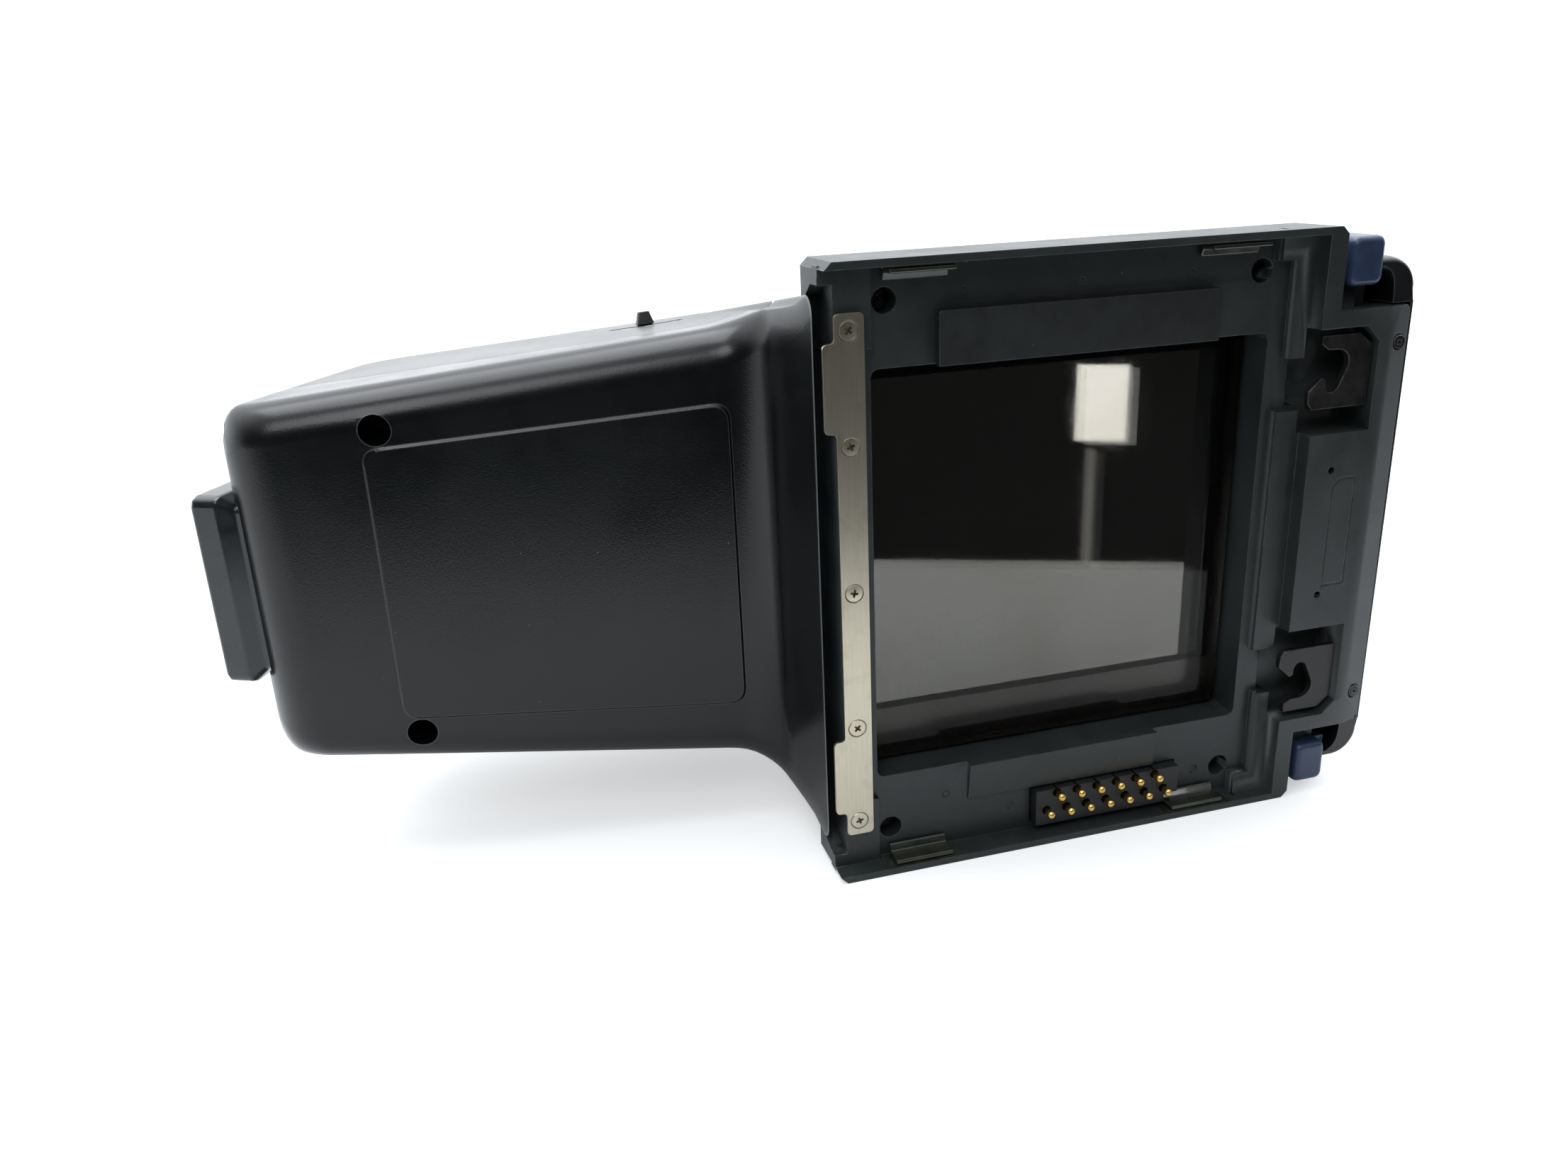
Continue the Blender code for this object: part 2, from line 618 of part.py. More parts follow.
def make_pads_and_shield(pad_mat, shield_mat):
    number = 0
    for side in (1, -1):
        for x in PAD_X:
            number += 1
            section = [(0.4, side * 50.5), (0.4, side * 49.7), (3.6, side * 49.7),
                       (4.0, side * 48.4), (4.5, side * 48.4), (4.5, side * 50.5)]
            new_object(f"rail_pad_{number}", extruded(section, x - 5.3, x + 5.3, "X"), pad_mat)
    outline = [(-24.5, 35.0), (24.5, 35.0), (24.5, 43.2), (24.2, 43.5), (-24.2, 43.5), (-24.5, 43.2)]
    new_object("upper_light_shield", extruded(outline, 3.0, 4.5), shield_mat)


# ---------------------------------------------------------------- optics
def hull(points):
    bm = bmesh.new()
    for point in points:
        bm.verts.new(point)
    bmesh.ops.convex_hull(bm, input=bm.verts)
    return bm


def make_optics(glass, dark_metal):
    lens_edge = SCREEN_HALF_X - 0.5
    new_object("field_lens", extruded(rounded_rect(-lens_edge, lens_edge, -34.7, 34.7, 0.8, 2),
                                      10.4, 13.4), glass)
    # roof pentaprism: flat bottom, slanted front, flat exit face, and a ridge along the top
    prism = hull([(x, 15.0, z) for x in (-33.0, 33.0) for z in (-32.0, 32.0)]
                 + [(x, y, z) for x, y in ((36.0, 26.0), (-36.0, 26.0)) for z in (-31.0, 31.0)]
                 + [(-36.0, 58.0, z) for z in (-26.0, 26.0)]
                 + [(21.0, 60.0, z) for z in (-22.0, 22.0)]
                 + [(x, 79.0, z) for x in (6.0, -12.0) for z in (-3.0, 3.0)])
    new_object("roof_prism", prism, glass)
    strap = [(-40.0, 13.0), (-38.8, 13.0), (-38.8, 81.0), (-6.0, 81.0), (-6.0, 82.2), (-40.0, 82.2)]
    new_object("prism_clamp", extruded(strap, -6.0, 6.0, "Z"), dark_metal)
    tube_centre = (0, EYEPIECE_Y, 0)
    tube = new_object("eyepiece_tube", cylinder(11.4, -114.0, -84.0, tube_centre, "X", 28), dark_metal)
    cut(tube, guide("eyepiece_tube_bore", cylinder(9.9, -125, -80, tube_centre, "X", 28)))
    lens = [(-113.0, 7.2), (-111.0, 9.4), (-107.5, 9.5), (-105.5, 9.4), (-103.8, 7.2)]
    new_object("eyepiece_lens", turned(lens, tube_centre, "X", 24), glass, smooth=True)


def tilted(x, y, z):
    """A point of the eyepiece, drawn with x from its rear face and y from its lower edge."""
    c, t = math.cos(EYEPIECE_TILT), math.sin(EYEPIECE_TILT)
    return (EYEPIECE_REAR_X + x * c + (y - 0.6) * t, EYEPIECE_LOW_Y - x * t + y * c, z)


def tilted_block(levels):
    """Rounded rectangles (x, inset, corner radius) of the eyepiece outline, skinned in order."""
    sections = []
    for x, inset, radius in levels:
        ring = rounded_rect(inset, 2 * EYEPIECE_HALF_Y - inset, inset - EYEPIECE_HALF_Z,
                            EYEPIECE_HALF_Z - inset, radius, 2)
        sections.append([tilted(x, y, z) for y, z in ring])
    return lofted(sections)


def make_eyepiece(gloss, glass):
    """A flange with a chamfered front, a neck through the covers, and a pane in its seat."""
    frame = new_object("eyepiece_frame", tilted_block(
        [(0.0, 0.6, 1.4), (0.6, 0.0, 1.8), (5.0, 0.0, 1.8), (7.0, 2.0, 1.2), (11.2, 2.0, 1.2)]), gloss)
    cut(frame, guide("eyepiece_window", tilted_block([(-3.0, 5.0, 2.0), (14.0, 5.0, 2.0)])),
        guide("eyepiece_seat", tilted_block([(-3.0, 3.5, 2.0), (3.5, 3.5, 2.0)])))
    new_object("eyepiece_glass", tilted_block([(1.6, 3.8, 1.8), (3.2, 3.8, 1.8)]), glass)


def make_electronics(board_mat, dark_plastic, sensor_mat):
    board = [(-104.0, -22.0), (-98.0, -28.0), (-60.0, -30.0), (-60.0, 30.0), (-98.0, 28.0), (-104.0, 22.0)]
    new_object("meter_circuit_board", extruded(board, 42.6, 44.0), board_mat)
    new_object("readout_display", box(-59.6, -52.0, 42.5, 47.5, -14.0, 14.0), dark_plastic)
    new_object("metering_cell", cylinder(3.0, -52.0, -46.0, (0, 72.0, 12.0), "X", 16), sensor_mat)


def make_mode_switch(mat):
    """Thumb nub outside the wall, a neck through the slot and a slide plate inside the wall."""
    place, rotation = switch_frame()
    bm = lofted([
        [(x, y, -3.6) for x, y in rounded_rect(-4.2, 4.2, -3.0, 3.0, 0.8, 1)],
        [(x, y, -2.8) for x, y in rounded_rect(-4.2, 4.2, -3.0, 3.0, 0.8, 1)],
    ])
    slide_tools = [
        on_side_wall(extruded(rounded_rect(-1.5, 1.5, -0.65, 0.65, 0.3, 1), -3.2, 0.6, "Z")),
        on_side_wall(lofted([[(x, y, 0.3) for x, y in rounded_rect(-1.7, 1.7, -1.6, 1.6, 0.4, 2)],
                             [(x, y, 2.7) for x, y in rounded_rect(-1.05, 1.05, -1.2, 1.2, 0.4, 2)]])),
    ]
    knob = new_object("mode_switch_knob", on_side_wall(bm), mat, origin=tuple(place))
    for label, tool in zip(("neck", "nub"), slide_tools):
        join(knob, guide("mode_switch_" + label, tool, origin=tuple(place)))


# ---------------------------------------------------------------- build
clear_scene()
FRAME = bpy.data.objects.new("finder_frame", None)
bpy.context.collection.objects.link(FRAME)
FRAME.location = Vector((FRAME_X, FRAME_Y, FRAME_Z)) * MM

black_casting = material("black_painted_casting", (0.014, 0.016, 0.017), 0.45)
black_plastic = material("black_abs_semi_matt", (0.012, 0.014, 0.015), 0.38)
gloss_plastic = material("black_gloss_plastic", (0.008, 0.008, 0.009), 0.12)
nickel = material("nickel_plated_steel", (0.58, 0.55, 0.46), 0.28, 1.0)
black_steel = material("black_oxide_steel", (0.03, 0.026, 0.028), 0.42, 0.6)
blue_plastic = material("slate_blue_abs", (0.028, 0.055, 0.125), 0.4)
insulator = material("black_phenolic", (0.02, 0.021, 0.022), 0.5)
gold = material("gold_plated_brass", (0.9, 0.62, 0.2), 0.2, 1.0)
olive_film = material("olive_polyester_pad", (0.08, 0.085, 0.05), 0.35)
optical_glass = material("coated_optical_glass", (0.9, 0.95, 0.95), 0.02, 0.0, 1.0)
green_board = material("green_circuit_board", (0.01, 0.09, 0.03), 0.5)
sensor = material("smoked_sensor_resin", (0.05, 0.02, 0.03), 0.2)

make_base(black_casting)
make_strip(nickel)
make_screws(nickel, black_steel)
make_top_cover(black_plastic)
make_underside_cover(black_plastic)
make_latch(1, "right", blue_plastic, black_steel, nickel)
make_latch(-1, "left", blue_plastic, black_steel, nickel)
make_contacts(insulator, gold)
make_pads_and_shield(olive_film, black_plastic)
make_optics(optical_glass, black_steel)
make_eyepiece(gloss_plastic, optical_glass)
make_electronics(green_board, insulator, sensor)
make_mode_switch(insulator)
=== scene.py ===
# %% [markdown]
# # A metered prism viewfinder, finished for the studio
#
# The object is a prism viewfinder of a medium-format reflex camera, lying on its left side.
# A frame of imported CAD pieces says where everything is, and this lesson gives each piece its
# fine shape and its surface.  The frame is loaded first, because every later step measures it.

# %% Load the frame
import json
import math

import bmesh
import bpy
from mathutils import Matrix, Vector


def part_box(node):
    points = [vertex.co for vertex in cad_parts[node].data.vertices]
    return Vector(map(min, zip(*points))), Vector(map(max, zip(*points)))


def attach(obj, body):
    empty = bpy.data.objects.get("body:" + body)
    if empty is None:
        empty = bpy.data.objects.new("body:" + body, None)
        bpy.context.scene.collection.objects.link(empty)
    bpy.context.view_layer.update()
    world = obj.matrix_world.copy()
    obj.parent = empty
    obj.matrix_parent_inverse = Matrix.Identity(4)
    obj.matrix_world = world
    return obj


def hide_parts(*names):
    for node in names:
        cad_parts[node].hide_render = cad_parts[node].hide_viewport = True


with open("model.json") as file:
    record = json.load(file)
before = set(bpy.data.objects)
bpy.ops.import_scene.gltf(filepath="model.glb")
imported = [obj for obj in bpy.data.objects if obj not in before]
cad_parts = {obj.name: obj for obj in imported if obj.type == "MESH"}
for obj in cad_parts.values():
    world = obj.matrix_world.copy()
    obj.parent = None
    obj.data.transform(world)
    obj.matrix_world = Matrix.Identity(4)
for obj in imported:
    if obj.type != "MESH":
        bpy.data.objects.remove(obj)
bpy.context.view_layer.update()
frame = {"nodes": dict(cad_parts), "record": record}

# %% [markdown]
# ## One ruler for everything
#
# Sizes are easiest to think about in millimetres, measured from the middle of the square screen
# opening in the mount face: X to the front, Y away from the mount face, Z to the finder's right.
# The frame itself is in metres with its origin under the whole finder.  The shift between the
# two comes from the CAD boxes, so that nothing has to be fitted by eye.

# %% Millimetres round the screen opening
MM = 0.001
base_low, base_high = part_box("base_plate")
glass_low, glass_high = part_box("field_lens")
ORIGIN = Vector(((glass_low.x + glass_high.x) / 2, base_low.y, (glass_low.z + glass_high.z) / 2))
HALF_WIDTH = (base_high.z - base_low.z) / 2 / MM
print("origin of the millimetre ruler:", [round(v, 5) for v in ORIGIN], "half width", HALF_WIDTH)


def place(x, y, z):
    """A point of the millimetre ruler, in the frame's metres."""
    return ORIGIN + Vector((x, y, z)) * MM


# %% [markdown]
# ## Colours and nodes
#
# Paint charts give colours as sRGB hex values, but a renderer adds up light, so it needs linear
# numbers.  One function converts them.  A second one adds a shader node with its settings and
# links in one line, which keeps each material short enough to read as a recipe.

# %% Colour and node helpers
def linear(hex_code, alpha=1.0):
    """sRGB hex to linear RGBA."""
    out = []
    for i in (0, 2, 4):
        c = int(hex_code.lstrip("#")[i:i + 2], 16) / 255
        out.append(c / 12.92 if c <= 0.04045 else ((c + 0.055) / 1.055) ** 2.4)
    return (*out, alpha)


def node(tree, kind, inputs=None, **settings):
    """Add a node: settings are its properties, inputs are values or sockets to link."""
    made = tree.nodes.new("ShaderNode" + kind)
    for key, value in settings.items():
        setattr(made, key, value)
    for key, value in (inputs or {}).items():
        socket = made.inputs[key]
        if isinstance(value, bpy.types.NodeSocket):
            tree.links.new(value, socket)
        else:
            socket.default_value = value
    return made


def new_material(name):
    """An empty node tree with an output, ready for a recipe."""
    mat = bpy.data.materials.new(name)
    mat.use_nodes = True
    mat.node_tree.nodes.clear()
    return mat, mat.node_tree


def close(mat, tree, shader):
    node(tree, "OutputMaterial", {"Surface": shader})
    print("material:", mat.name, len(tree.nodes), "nodes")
    return mat


# %% [markdown]
# ## Patterns that several finishes share
#
# Handled camera parts carry the same few traces: specks of dust 0.1 to 0.3 mm across, a slow
# change of sheen where fingers have polished them, and paler edges, which are wear on the metal
# parts and on the covers partly wear, partly a painted highlight.  Each pattern is worked out in
# millimetres: object coordinates are in metres, so a feature of d mm needs a scale of 1000/d.

# %% Dust, mottling and worn edges
def per_mm(size):
    """Texture scale for a feature of that many millimetres."""
    return 1000.0 / size


def spots(tree, spacing, radius, seed=0.0):
    """A mask that is 1 in small spots, about one per cell of that spacing (mm)."""
    where = node(tree, "TexCoord").outputs["Object"]
    moved = node(tree, "VectorMath", {0: where, 1: (seed, seed * 0.7, -seed)}, operation="ADD")
    cells = node(tree, "TexVoronoi", {"Vector": moved.outputs[0], "Scale": per_mm(spacing)})
    chance = node(tree, "SeparateColor", {0: cells.outputs["Color"]})
    limit = node(tree, "MapRange", {"Value": chance.outputs[0], "From Min": 0.72, "From Max": 1.0,
                                    "To Min": 0.0, "To Max": radius / spacing})
    return node(tree, "Math", {0: cells.outputs["Distance"], 1: limit.outputs[0]},
                operation="LESS_THAN").outputs[0]


def cloud(tree, size, detail=3.0, low=0.35, high=0.65, seed=0.0):
    """A soft 0 to 1 pattern whose patches are about that size in mm."""
    where = node(tree, "TexCoord").outputs["Object"]
    moved = node(tree, "VectorMath", {0: where, 1: (seed, -seed, seed * 0.3)}, operation="ADD")
    noise = node(tree, "TexNoise", {"Vector": moved.outputs[0], "Scale": per_mm(size),
                                    "Detail": detail, "Roughness": 0.6})
    return node(tree, "MapRange", {"Value": noise.outputs[0], "From Min": low,
                                   "From Max": high}).outputs[0]


def blend(tree, mask, first, second):
    """Mix two colours (hex codes or sockets) by a mask."""
    values = [linear(c) if isinstance(c, str) else c for c in (first, second)]
    return node(tree, "Mix", {0: mask, 6: values[0], 7: values[1]}, data_type="RGBA").outputs[2]


def between(tree, mask, low, high):
    """Turn a 0 to 1 mask into any other range."""
    return node(tree, "MapRange", {"Value": mask, "To Min": low, "To Max": high}).outputs[0]


def times(tree, first, second):
    return node(tree, "Math", {0: first, 1: second}, operation="MULTIPLY").outputs[0]


def edges(tree, width, strength=1.0):
    """A mask of outer edges: where a rounded normal leans away from the flat one."""
    soft = node(tree, "Bevel", {"Radius": width * MM}, samples=4)
    flat = node(tree, "NewGeometry")
    lean = node(tree, "VectorMath", {0: soft.outputs[0], 1: flat.outputs["Normal"]},
                operation="DOT_PRODUCT")
    return node(tree, "MapRange", {"Value": lean.outputs["Value"], "From Min": 0.995,
                                   "From Max": 0.80, "To Max": strength}).outputs[0]


# %% [markdown]
# ## Black paint on a die casting
#
# The mount plate is an aluminium die casting under semi-matt black paint.  The spray leaves a
# faint orange peel about 0.5 mm across, and the corners have worn through to pale metal.  Paint
# is a dielectric, so it keeps metallic 0 and an IOR near 1.5; its sheen comes from roughness.

# %% Painted casting
def painted_casting():
    mat, tree = new_material("black_painted_casting")
    mottle = cloud(tree, 9.0, 4.0)
    grime = cloud(tree, 2.2, 5.0, 0.45, 0.75, seed=1.3)
    colour = blend(tree, mottle, "#1f2424", "#282d2d")
    colour = blend(tree, times(tree, grime, 0.22), colour, "#2e3331")
    dust = spots(tree, 1.9, 0.10)
    colour = blend(tree, times(tree, dust, 0.6), colour, "#8f9490")
    along = node(tree, "SeparateXYZ", {0: node(tree, "TexCoord").outputs["Object"]})
    rear = node(tree, "MapRange", {"Value": along.outputs["X"], "From Min": place(-41, 0, 0).x,
                                   "From Max": place(-44, 0, 0).x, "To Min": 0.12})
    worn = times(tree, edges(tree, 0.30), cloud(tree, 3.0, 4.0, 0.48, 0.62, seed=4.0))
    worn = times(tree, worn, rear.outputs[0])
    colour = blend(tree, worn, colour, "#a6a8a2")
    peel = cloud(tree, 0.5, 2.0, 0.2, 0.8, seed=0.4)
    bump = node(tree, "Bump", {"Height": peel, "Strength": 0.18, "Distance": 0.05 * MM})
    round_off = node(tree, "Bevel", {"Radius": 0.22 * MM, "Normal": bump.outputs[0]}, samples=6)
    shader = node(tree, "BsdfPrincipled", {
        "Base Color": colour, "Roughness": between(tree, mottle, 0.38, 0.47),
        "IOR": 1.5, "Normal": round_off.outputs[0]})
    return close(mat, tree, shader.outputs[0])


CASTING = painted_casting()

# %% [markdown]
# ## Moulded ABS for the covers
#
# The covers are black ABS, moulded in a spark-eroded tool.  That gives a fine even grain, about
# 0.2 mm across, and a soft sheen that hands polish unevenly.  The grain is drawn 0.35 mm wide,
# a little coarser than real, so that it still shows at the distance of this picture.  The top
# cover is made a little rougher, with some sheen, because its side wall looks pale where it is
# seen along its surface.

# %% Moulded cover plastic
def moulded_cover(name, rough, ior, sheen):
    mat, tree = new_material(name)
    handled = cloud(tree, 26.0, 3.0, 0.4, 0.62)
    colour = blend(tree, handled, "#08090a", "#0d0f10")
    scuff = cloud(tree, 5.0, 6.0, 0.60, 0.80, seed=2.0)
    colour = blend(tree, times(tree, scuff, 0.20), colour, "#25292a")
    dust = spots(tree, 3.2, 0.16, seed=0.5)
    colour = blend(tree, times(tree, dust, 0.55), colour, "#7d8384")
    # Paler edges: partly wear, partly a painted highlight that lights the rims of the raised panel
    # and the wells as if they caught the light.
    colour = blend(tree, edges(tree, 0.35, 0.55), colour, "#767c7e")
    grain = cloud(tree, 0.35, 1.0, 0.25, 0.75)
    bump = node(tree, "Bump", {"Height": grain, "Strength": 0.22, "Distance": 0.04 * MM})
    shader = node(tree, "BsdfPrincipled", {
        "Base Color": colour, "Roughness": between(tree, handled, rough, rough + 0.07),
        "IOR": ior, "Sheen Weight": sheen, "Sheen Roughness": 0.25, "Normal": bump.outputs[0]})
    return close(mat, tree, shader.outputs[0])


COVER = moulded_cover("black_moulded_abs", 0.20, 1.42, 0.0)
TOP_COVER = moulded_cover("black_moulded_abs_matt", 0.30, 1.5, 0.6)

# %% [markdown]
# ## Nickel-plated steel
#
# The locating strip and its screws are steel under satin nickel.  Nickel is slightly warm, and
# a metal's colour lives in its reflection, so metallic is 1 and the IOR is left alone.  The strip
# was brushed along its length; the lines are drawn 0.12 mm apart and fifty times as long.

# %% Brushed nickel
def brushed_nickel():
    mat, tree = new_material("satin_nickel_plate")
    where = node(tree, "TexCoord").outputs["Object"]
    stretched = node(tree, "Mapping", {"Vector": where, "Scale": (1.0, 1.0, 0.02)})
    lines = node(tree, "TexNoise", {"Vector": stretched.outputs[0], "Scale": per_mm(0.12),
                                    "Detail": 3.0})
    stain = cloud(tree, 4.0, 6.0, 0.55, 0.80, seed=0.9)
    colour = blend(tree, lines.outputs[0], "#b3ab96", "#cfc8b6")
    colour = blend(tree, times(tree, stain, 0.35), colour, "#7d7462")
    dust = spots(tree, 2.4, 0.11, seed=2.5)
    colour = blend(tree, times(tree, dust, 0.7), colour, "#4e4a40")
    bump = node(tree, "Bump", {"Height": lines.outputs[0], "Strength": 0.12,
                               "Distance": 0.02 * MM})
    shader = node(tree, "BsdfPrincipled", {
        "Base Color": colour, "Metallic": 1.0,
        "Roughness": between(tree, lines.outputs[0], 0.27, 0.36), "Normal": bump.outputs[0]})
    return close(mat, tree, shader.outputs[0])


NICKEL = brushed_nickel()

# %% [markdown]
# ## Black oxide steel
#
# Hook plates and small screws are blackened steel: a thin oxide that stays brownish black and
# lets some metal through on rubbed edges.

# %% Blackened steel
def blackened_steel():
    mat, tree = new_material("black_oxide_steel")
    tone = cloud(tree, 2.5, 5.0)
    colour = blend(tree, tone, "#171617", "#262424")
    rubbed = times(tree, edges(tree, 0.2), cloud(tree, 1.5, 3.0, 0.4, 0.6, seed=3.0))
    colour = blend(tree, rubbed, colour, "#9a958e")
    bump = node(tree, "Bump", {"Height": cloud(tree, 0.4, 2.0), "Strength": 0.12,
                               "Distance": 0.03 * MM})
    shader = node(tree, "BsdfPrincipled", {
        "Base Color": colour, "Metallic": 0.35, "Roughness": between(tree, tone, 0.28, 0.40),
        "Normal": bump.outputs[0]})
    return close(mat, tree, shader.outputs[0])


BLACK_STEEL = blackened_steel()

# %% [markdown]
# ## Gold plate on the contacts
#
# The contact pins are turned brass under hard gold.  Gold stays bright, but handling leaves a
# dull film in patches, so only the roughness and a little of the colour vary.

# %% Gold plate
def gold_plate():
    mat, tree = new_material("hard_gold_plate")
    film = cloud(tree, 0.6, 3.0, 0.45, 0.7)
    colour = blend(tree, film, "#f2cd78", "#cfa556")
    shader = node(tree, "BsdfPrincipled", {
        "Base Color": colour, "Metallic": 1.0, "Roughness": between(tree, film, 0.20, 0.34)})
    return close(mat, tree, shader.outputs[0])


GOLD = gold_plate()

# %% [markdown]
# ## Plastics of the small parts
#
# Slate blue buttons, a matt black insulator, a gloss black eyepiece frame, olive polyester pads
# and the rest share one recipe with different values, because they differ in colour and polish
# rather than in structure.

# %% Small mouldings
def moulding(name, dark, light, rough, grain_mm, depth, dust_amount, coat=0.0):
    mat, tree = new_material(name)
    tone = cloud(tree, 4.0, 4.0)
    colour = blend(tree, tone, dark, light)
    dust = spots(tree, 2.1, 0.11, seed=grain_mm)
    colour = blend(tree, times(tree, dust, dust_amount), colour, "#9ea3a2")
    bump = node(tree, "Bump", {"Height": cloud(tree, grain_mm, 1.0), "Strength": depth,
                               "Distance": 0.04 * MM})
    shader = node(tree, "BsdfPrincipled", {
        "Base Color": colour, "Roughness": between(tree, tone, rough - 0.04, rough + 0.05),
        "IOR": 1.5, "Coat Weight": coat, "Normal": bump.outputs[0]})
    return close(mat, tree, shader.outputs[0])


BLUE = moulding("slate_blue_abs", "#26324a", "#2d3b57", 0.36, 0.4, 0.10, 0.4)
INSULATOR = moulding("matt_black_phenolic", "#141718", "#1d2021", 0.48, 0.3, 0.25, 0.5)
GLOSS = moulding("gloss_black_abs", "#1c1f21", "#25282a", 0.17, 0.9, 0.03, 0.35)
SHIELD = moulding("black_light_shield", "#121516", "#1a1e1f", 0.45, 0.3, 0.22, 0.6)
PAD = moulding("olive_polyester_pad", "#1b1e17", "#2c2f23", 0.20, 0.8, 0.08, 0.3, coat=0.4)
BOARD = moulding("green_solder_mask", "#0f4a26", "#14592e", 0.35, 0.5, 0.06, 0.1)
RESIN = moulding("smoked_sensor_resin", "#1c0c10", "#2a1418", 0.10, 0.9, 0.02, 0.1)
MASK = moulding("brown_black_lacquer", "#100c0a", "#17120f", 0.22, 0.6, 0.01, 0.2)
MARKING = moulding("white_pad_print", "#c9ccca", "#dadddb", 0.55, 0.2, 0.10, 0.0)

# %% [markdown]
# ## Coated optical glass
#
# The field lens is crown glass, whose IOR of 1.52 would mirror 4% at each face.  Its coating
# cuts that to about 1%, which an IOR of 1.22 gives.  The space behind it is blackened, so it
# reads as a dark window, and what stands in front of it is mirrored mostly by the prism's flat
# base, of dense flint glass.  The prism's other faces are silvered and painted black, so it
# gets a dark body.

# %% Glass
def clear_glass():
    mat, tree = new_material("coated_crown_glass")
    haze = cloud(tree, 22.0, 2.0, 0.5, 0.8)
    shader = node(tree, "BsdfPrincipled", {
        "Base Color": blend(tree, haze, "#f2f0ea", "#e9e6de"), "Roughness": 0.01,
        "IOR": 1.22, "Transmission Weight": 1.0})
    return close(mat, tree, shader.outputs[0])


def dark_prism():
    mat, tree = new_material("black_backed_prism_glass")
    drift = cloud(tree, 18.0, 3.0)
    colour = blend(tree, drift, "#07090a", "#0c0f0e")
    shader = node(tree, "BsdfPrincipled", {
        "Base Color": colour, "Roughness": between(tree, drift, 0.02, 0.05), "IOR": 1.68,
        "Specular IOR Level": 1.0})
    return close(mat, tree, shader.outputs[0])


GLASS = clear_glass()
PRISM = dark_prism()

# %% [markdown]
# ## Shapes from outlines
#
# Nearly every part here was designed on paper as an outline and a depth, or as a turned profile.
# So the shapes are made in the same way: an outline carried along one axis, a profile spun round
# an axis, or a skin over a row of sections.  All take millimetres and give a closed solid.

# %% Outlines
def arc(cx, cy, radius, start, end, steps):
    """Points along a circle, between two angles in degrees."""
    turn = [math.radians(start + (end - start) * i / steps) for i in range(steps + 1)]
    return [(cx + radius * math.cos(a), cy + radius * math.sin(a)) for a in turn]


def fillet(points, radius, steps=4):
    """The same outline with each corner rounded, as far as its two edges allow."""
    out = []
    count = len(points)
    for i in range(count):
        corner = Vector(points[i])
        before = Vector(points[i - 1]) - corner
        after = Vector(points[(i + 1) % count]) - corner
        half = before.angle(after) / 2
        reach = min(radius / math.tan(half), before.length * 0.45, after.length * 0.45)
        start, end = corner + before.normalized() * reach, corner + after.normalized() * reach
        for k in range(steps + 1):
            t = k / steps
            out.append(tuple((1 - t) ** 2 * start + 2 * t * (1 - t) * corner + t * t * end))
    return out


def rounded(x0, x1, z0, z1, radius, steps=4):
    return fillet([(x0, z0), (x1, z0), (x1, z1), (x0, z1)], radius, steps)


def mirrored(points, side):
    return [(x, side * z) for x, z in points]


# %% Solids
def bridge(bm, rings, closed=False):
    """Skin a row of rings of points; cap both ends unless the row closes on itself."""
    loops = [[bm.verts.new(place(*p)) for p in ring] for ring in rings]
    pairs = list(zip(loops, loops[1:] + loops[:1])) if closed else list(zip(loops, loops[1:]))
    for near, far in pairs:
        for i in range(len(near)):
            j = (i + 1) % len(near)
            bm.faces.new((near[i], near[j], far[j], far[i]))
    if not closed:
        bm.faces.new(loops[0])
        bm.faces.new(loops[-1])
    bmesh.ops.recalc_face_normals(bm, faces=bm.faces)
    return bm


def slab(points, low, high, axis="Y"):
    """An outline carried along an axis: drawn in X,Z for Y, in Y,Z for X and in X,Y for Z."""
    spot = {"Y": lambda a, b, t: (a, t, b), "X": lambda a, b, t: (t, a, b),
            "Z": lambda a, b, t: (a, b, t)}[axis]
    return bridge(bmesh.new(), [[spot(a, b, t) for a, b in points] for t in (low, high)])


def turned(profile, centre, axis="Y", sides=40, closed=False):
    """A profile of (along, radius) spun round an axis through the centre."""
    cx, cy, cz = centre
    rings = []
    for along, radius in profile:
        ring = []
        for x, y in arc(0, 0, radius, 0, 360, sides)[:-1]:
            ring.append({"X": (cx + along, cy + x, cz + y), "Y": (cx + x, cy + along, cz + y),
                         "Z": (cx + x, cy + y, cz + along)}[axis])
        rings.append(ring)
    return bridge(bmesh.new(), rings, closed)


def solid(name, bm, mat=None):
    """Turn a bmesh into an object of the scene."""
    mesh = bpy.data.meshes.new(name)
    bm.to_mesh(mesh)
    bm.free()
    obj = bpy.data.objects.new(name, mesh)
    bpy.context.collection.objects.link(obj)
    if mat:
        mesh.materials.append(mat)
    return obj


def carve(obj, operation, shapes):
    """Cut, join or intersect with other shapes, and keep the result as plain mesh."""
    tools = [solid("tool", bm) if isinstance(bm, bmesh.types.BMesh) else bm for bm in shapes]
    for tool in tools:
        mod = obj.modifiers.new("carve", "BOOLEAN")
        mod.operation, mod.solver, mod.object = operation, "EXACT", tool
    graph = bpy.context.evaluated_depsgraph_get()
    mesh = bpy.data.meshes.new_from_object(obj.evaluated_get(graph))
    obj.modifiers.clear()
    obj.data = mesh
    for tool in tools:
        bpy.data.objects.remove(tool)
    return obj


# %% [markdown]
# ## Carrying a CAD piece over
#
# A flat-sided CAD piece already has the right size.  A copy of it with its coplanar triangles
# merged can take more cuts, and then a bevel that breaks each sharp edge by the 0.1 to 0.5 mm
# that moulding and stamping leave.  The copy replaces the CAD node and rides on its body.

# %% Copies, bevels and bodies
BODY_OF = {n: b for b, nodes in frame["record"]["behaviour"]["bodies"].items() for n in nodes}


def copy_of(cad_node, mat):
    bm = bmesh.new()
    bm.from_mesh(frame["nodes"][cad_node].data)
    bmesh.ops.remove_doubles(bm, verts=bm.verts, dist=0.002 * MM)
    bmesh.ops.dissolve_limit(bm, angle_limit=math.radians(0.4), verts=bm.verts, edges=bm.edges)
    return solid(cad_node + "_fine", bm, mat)


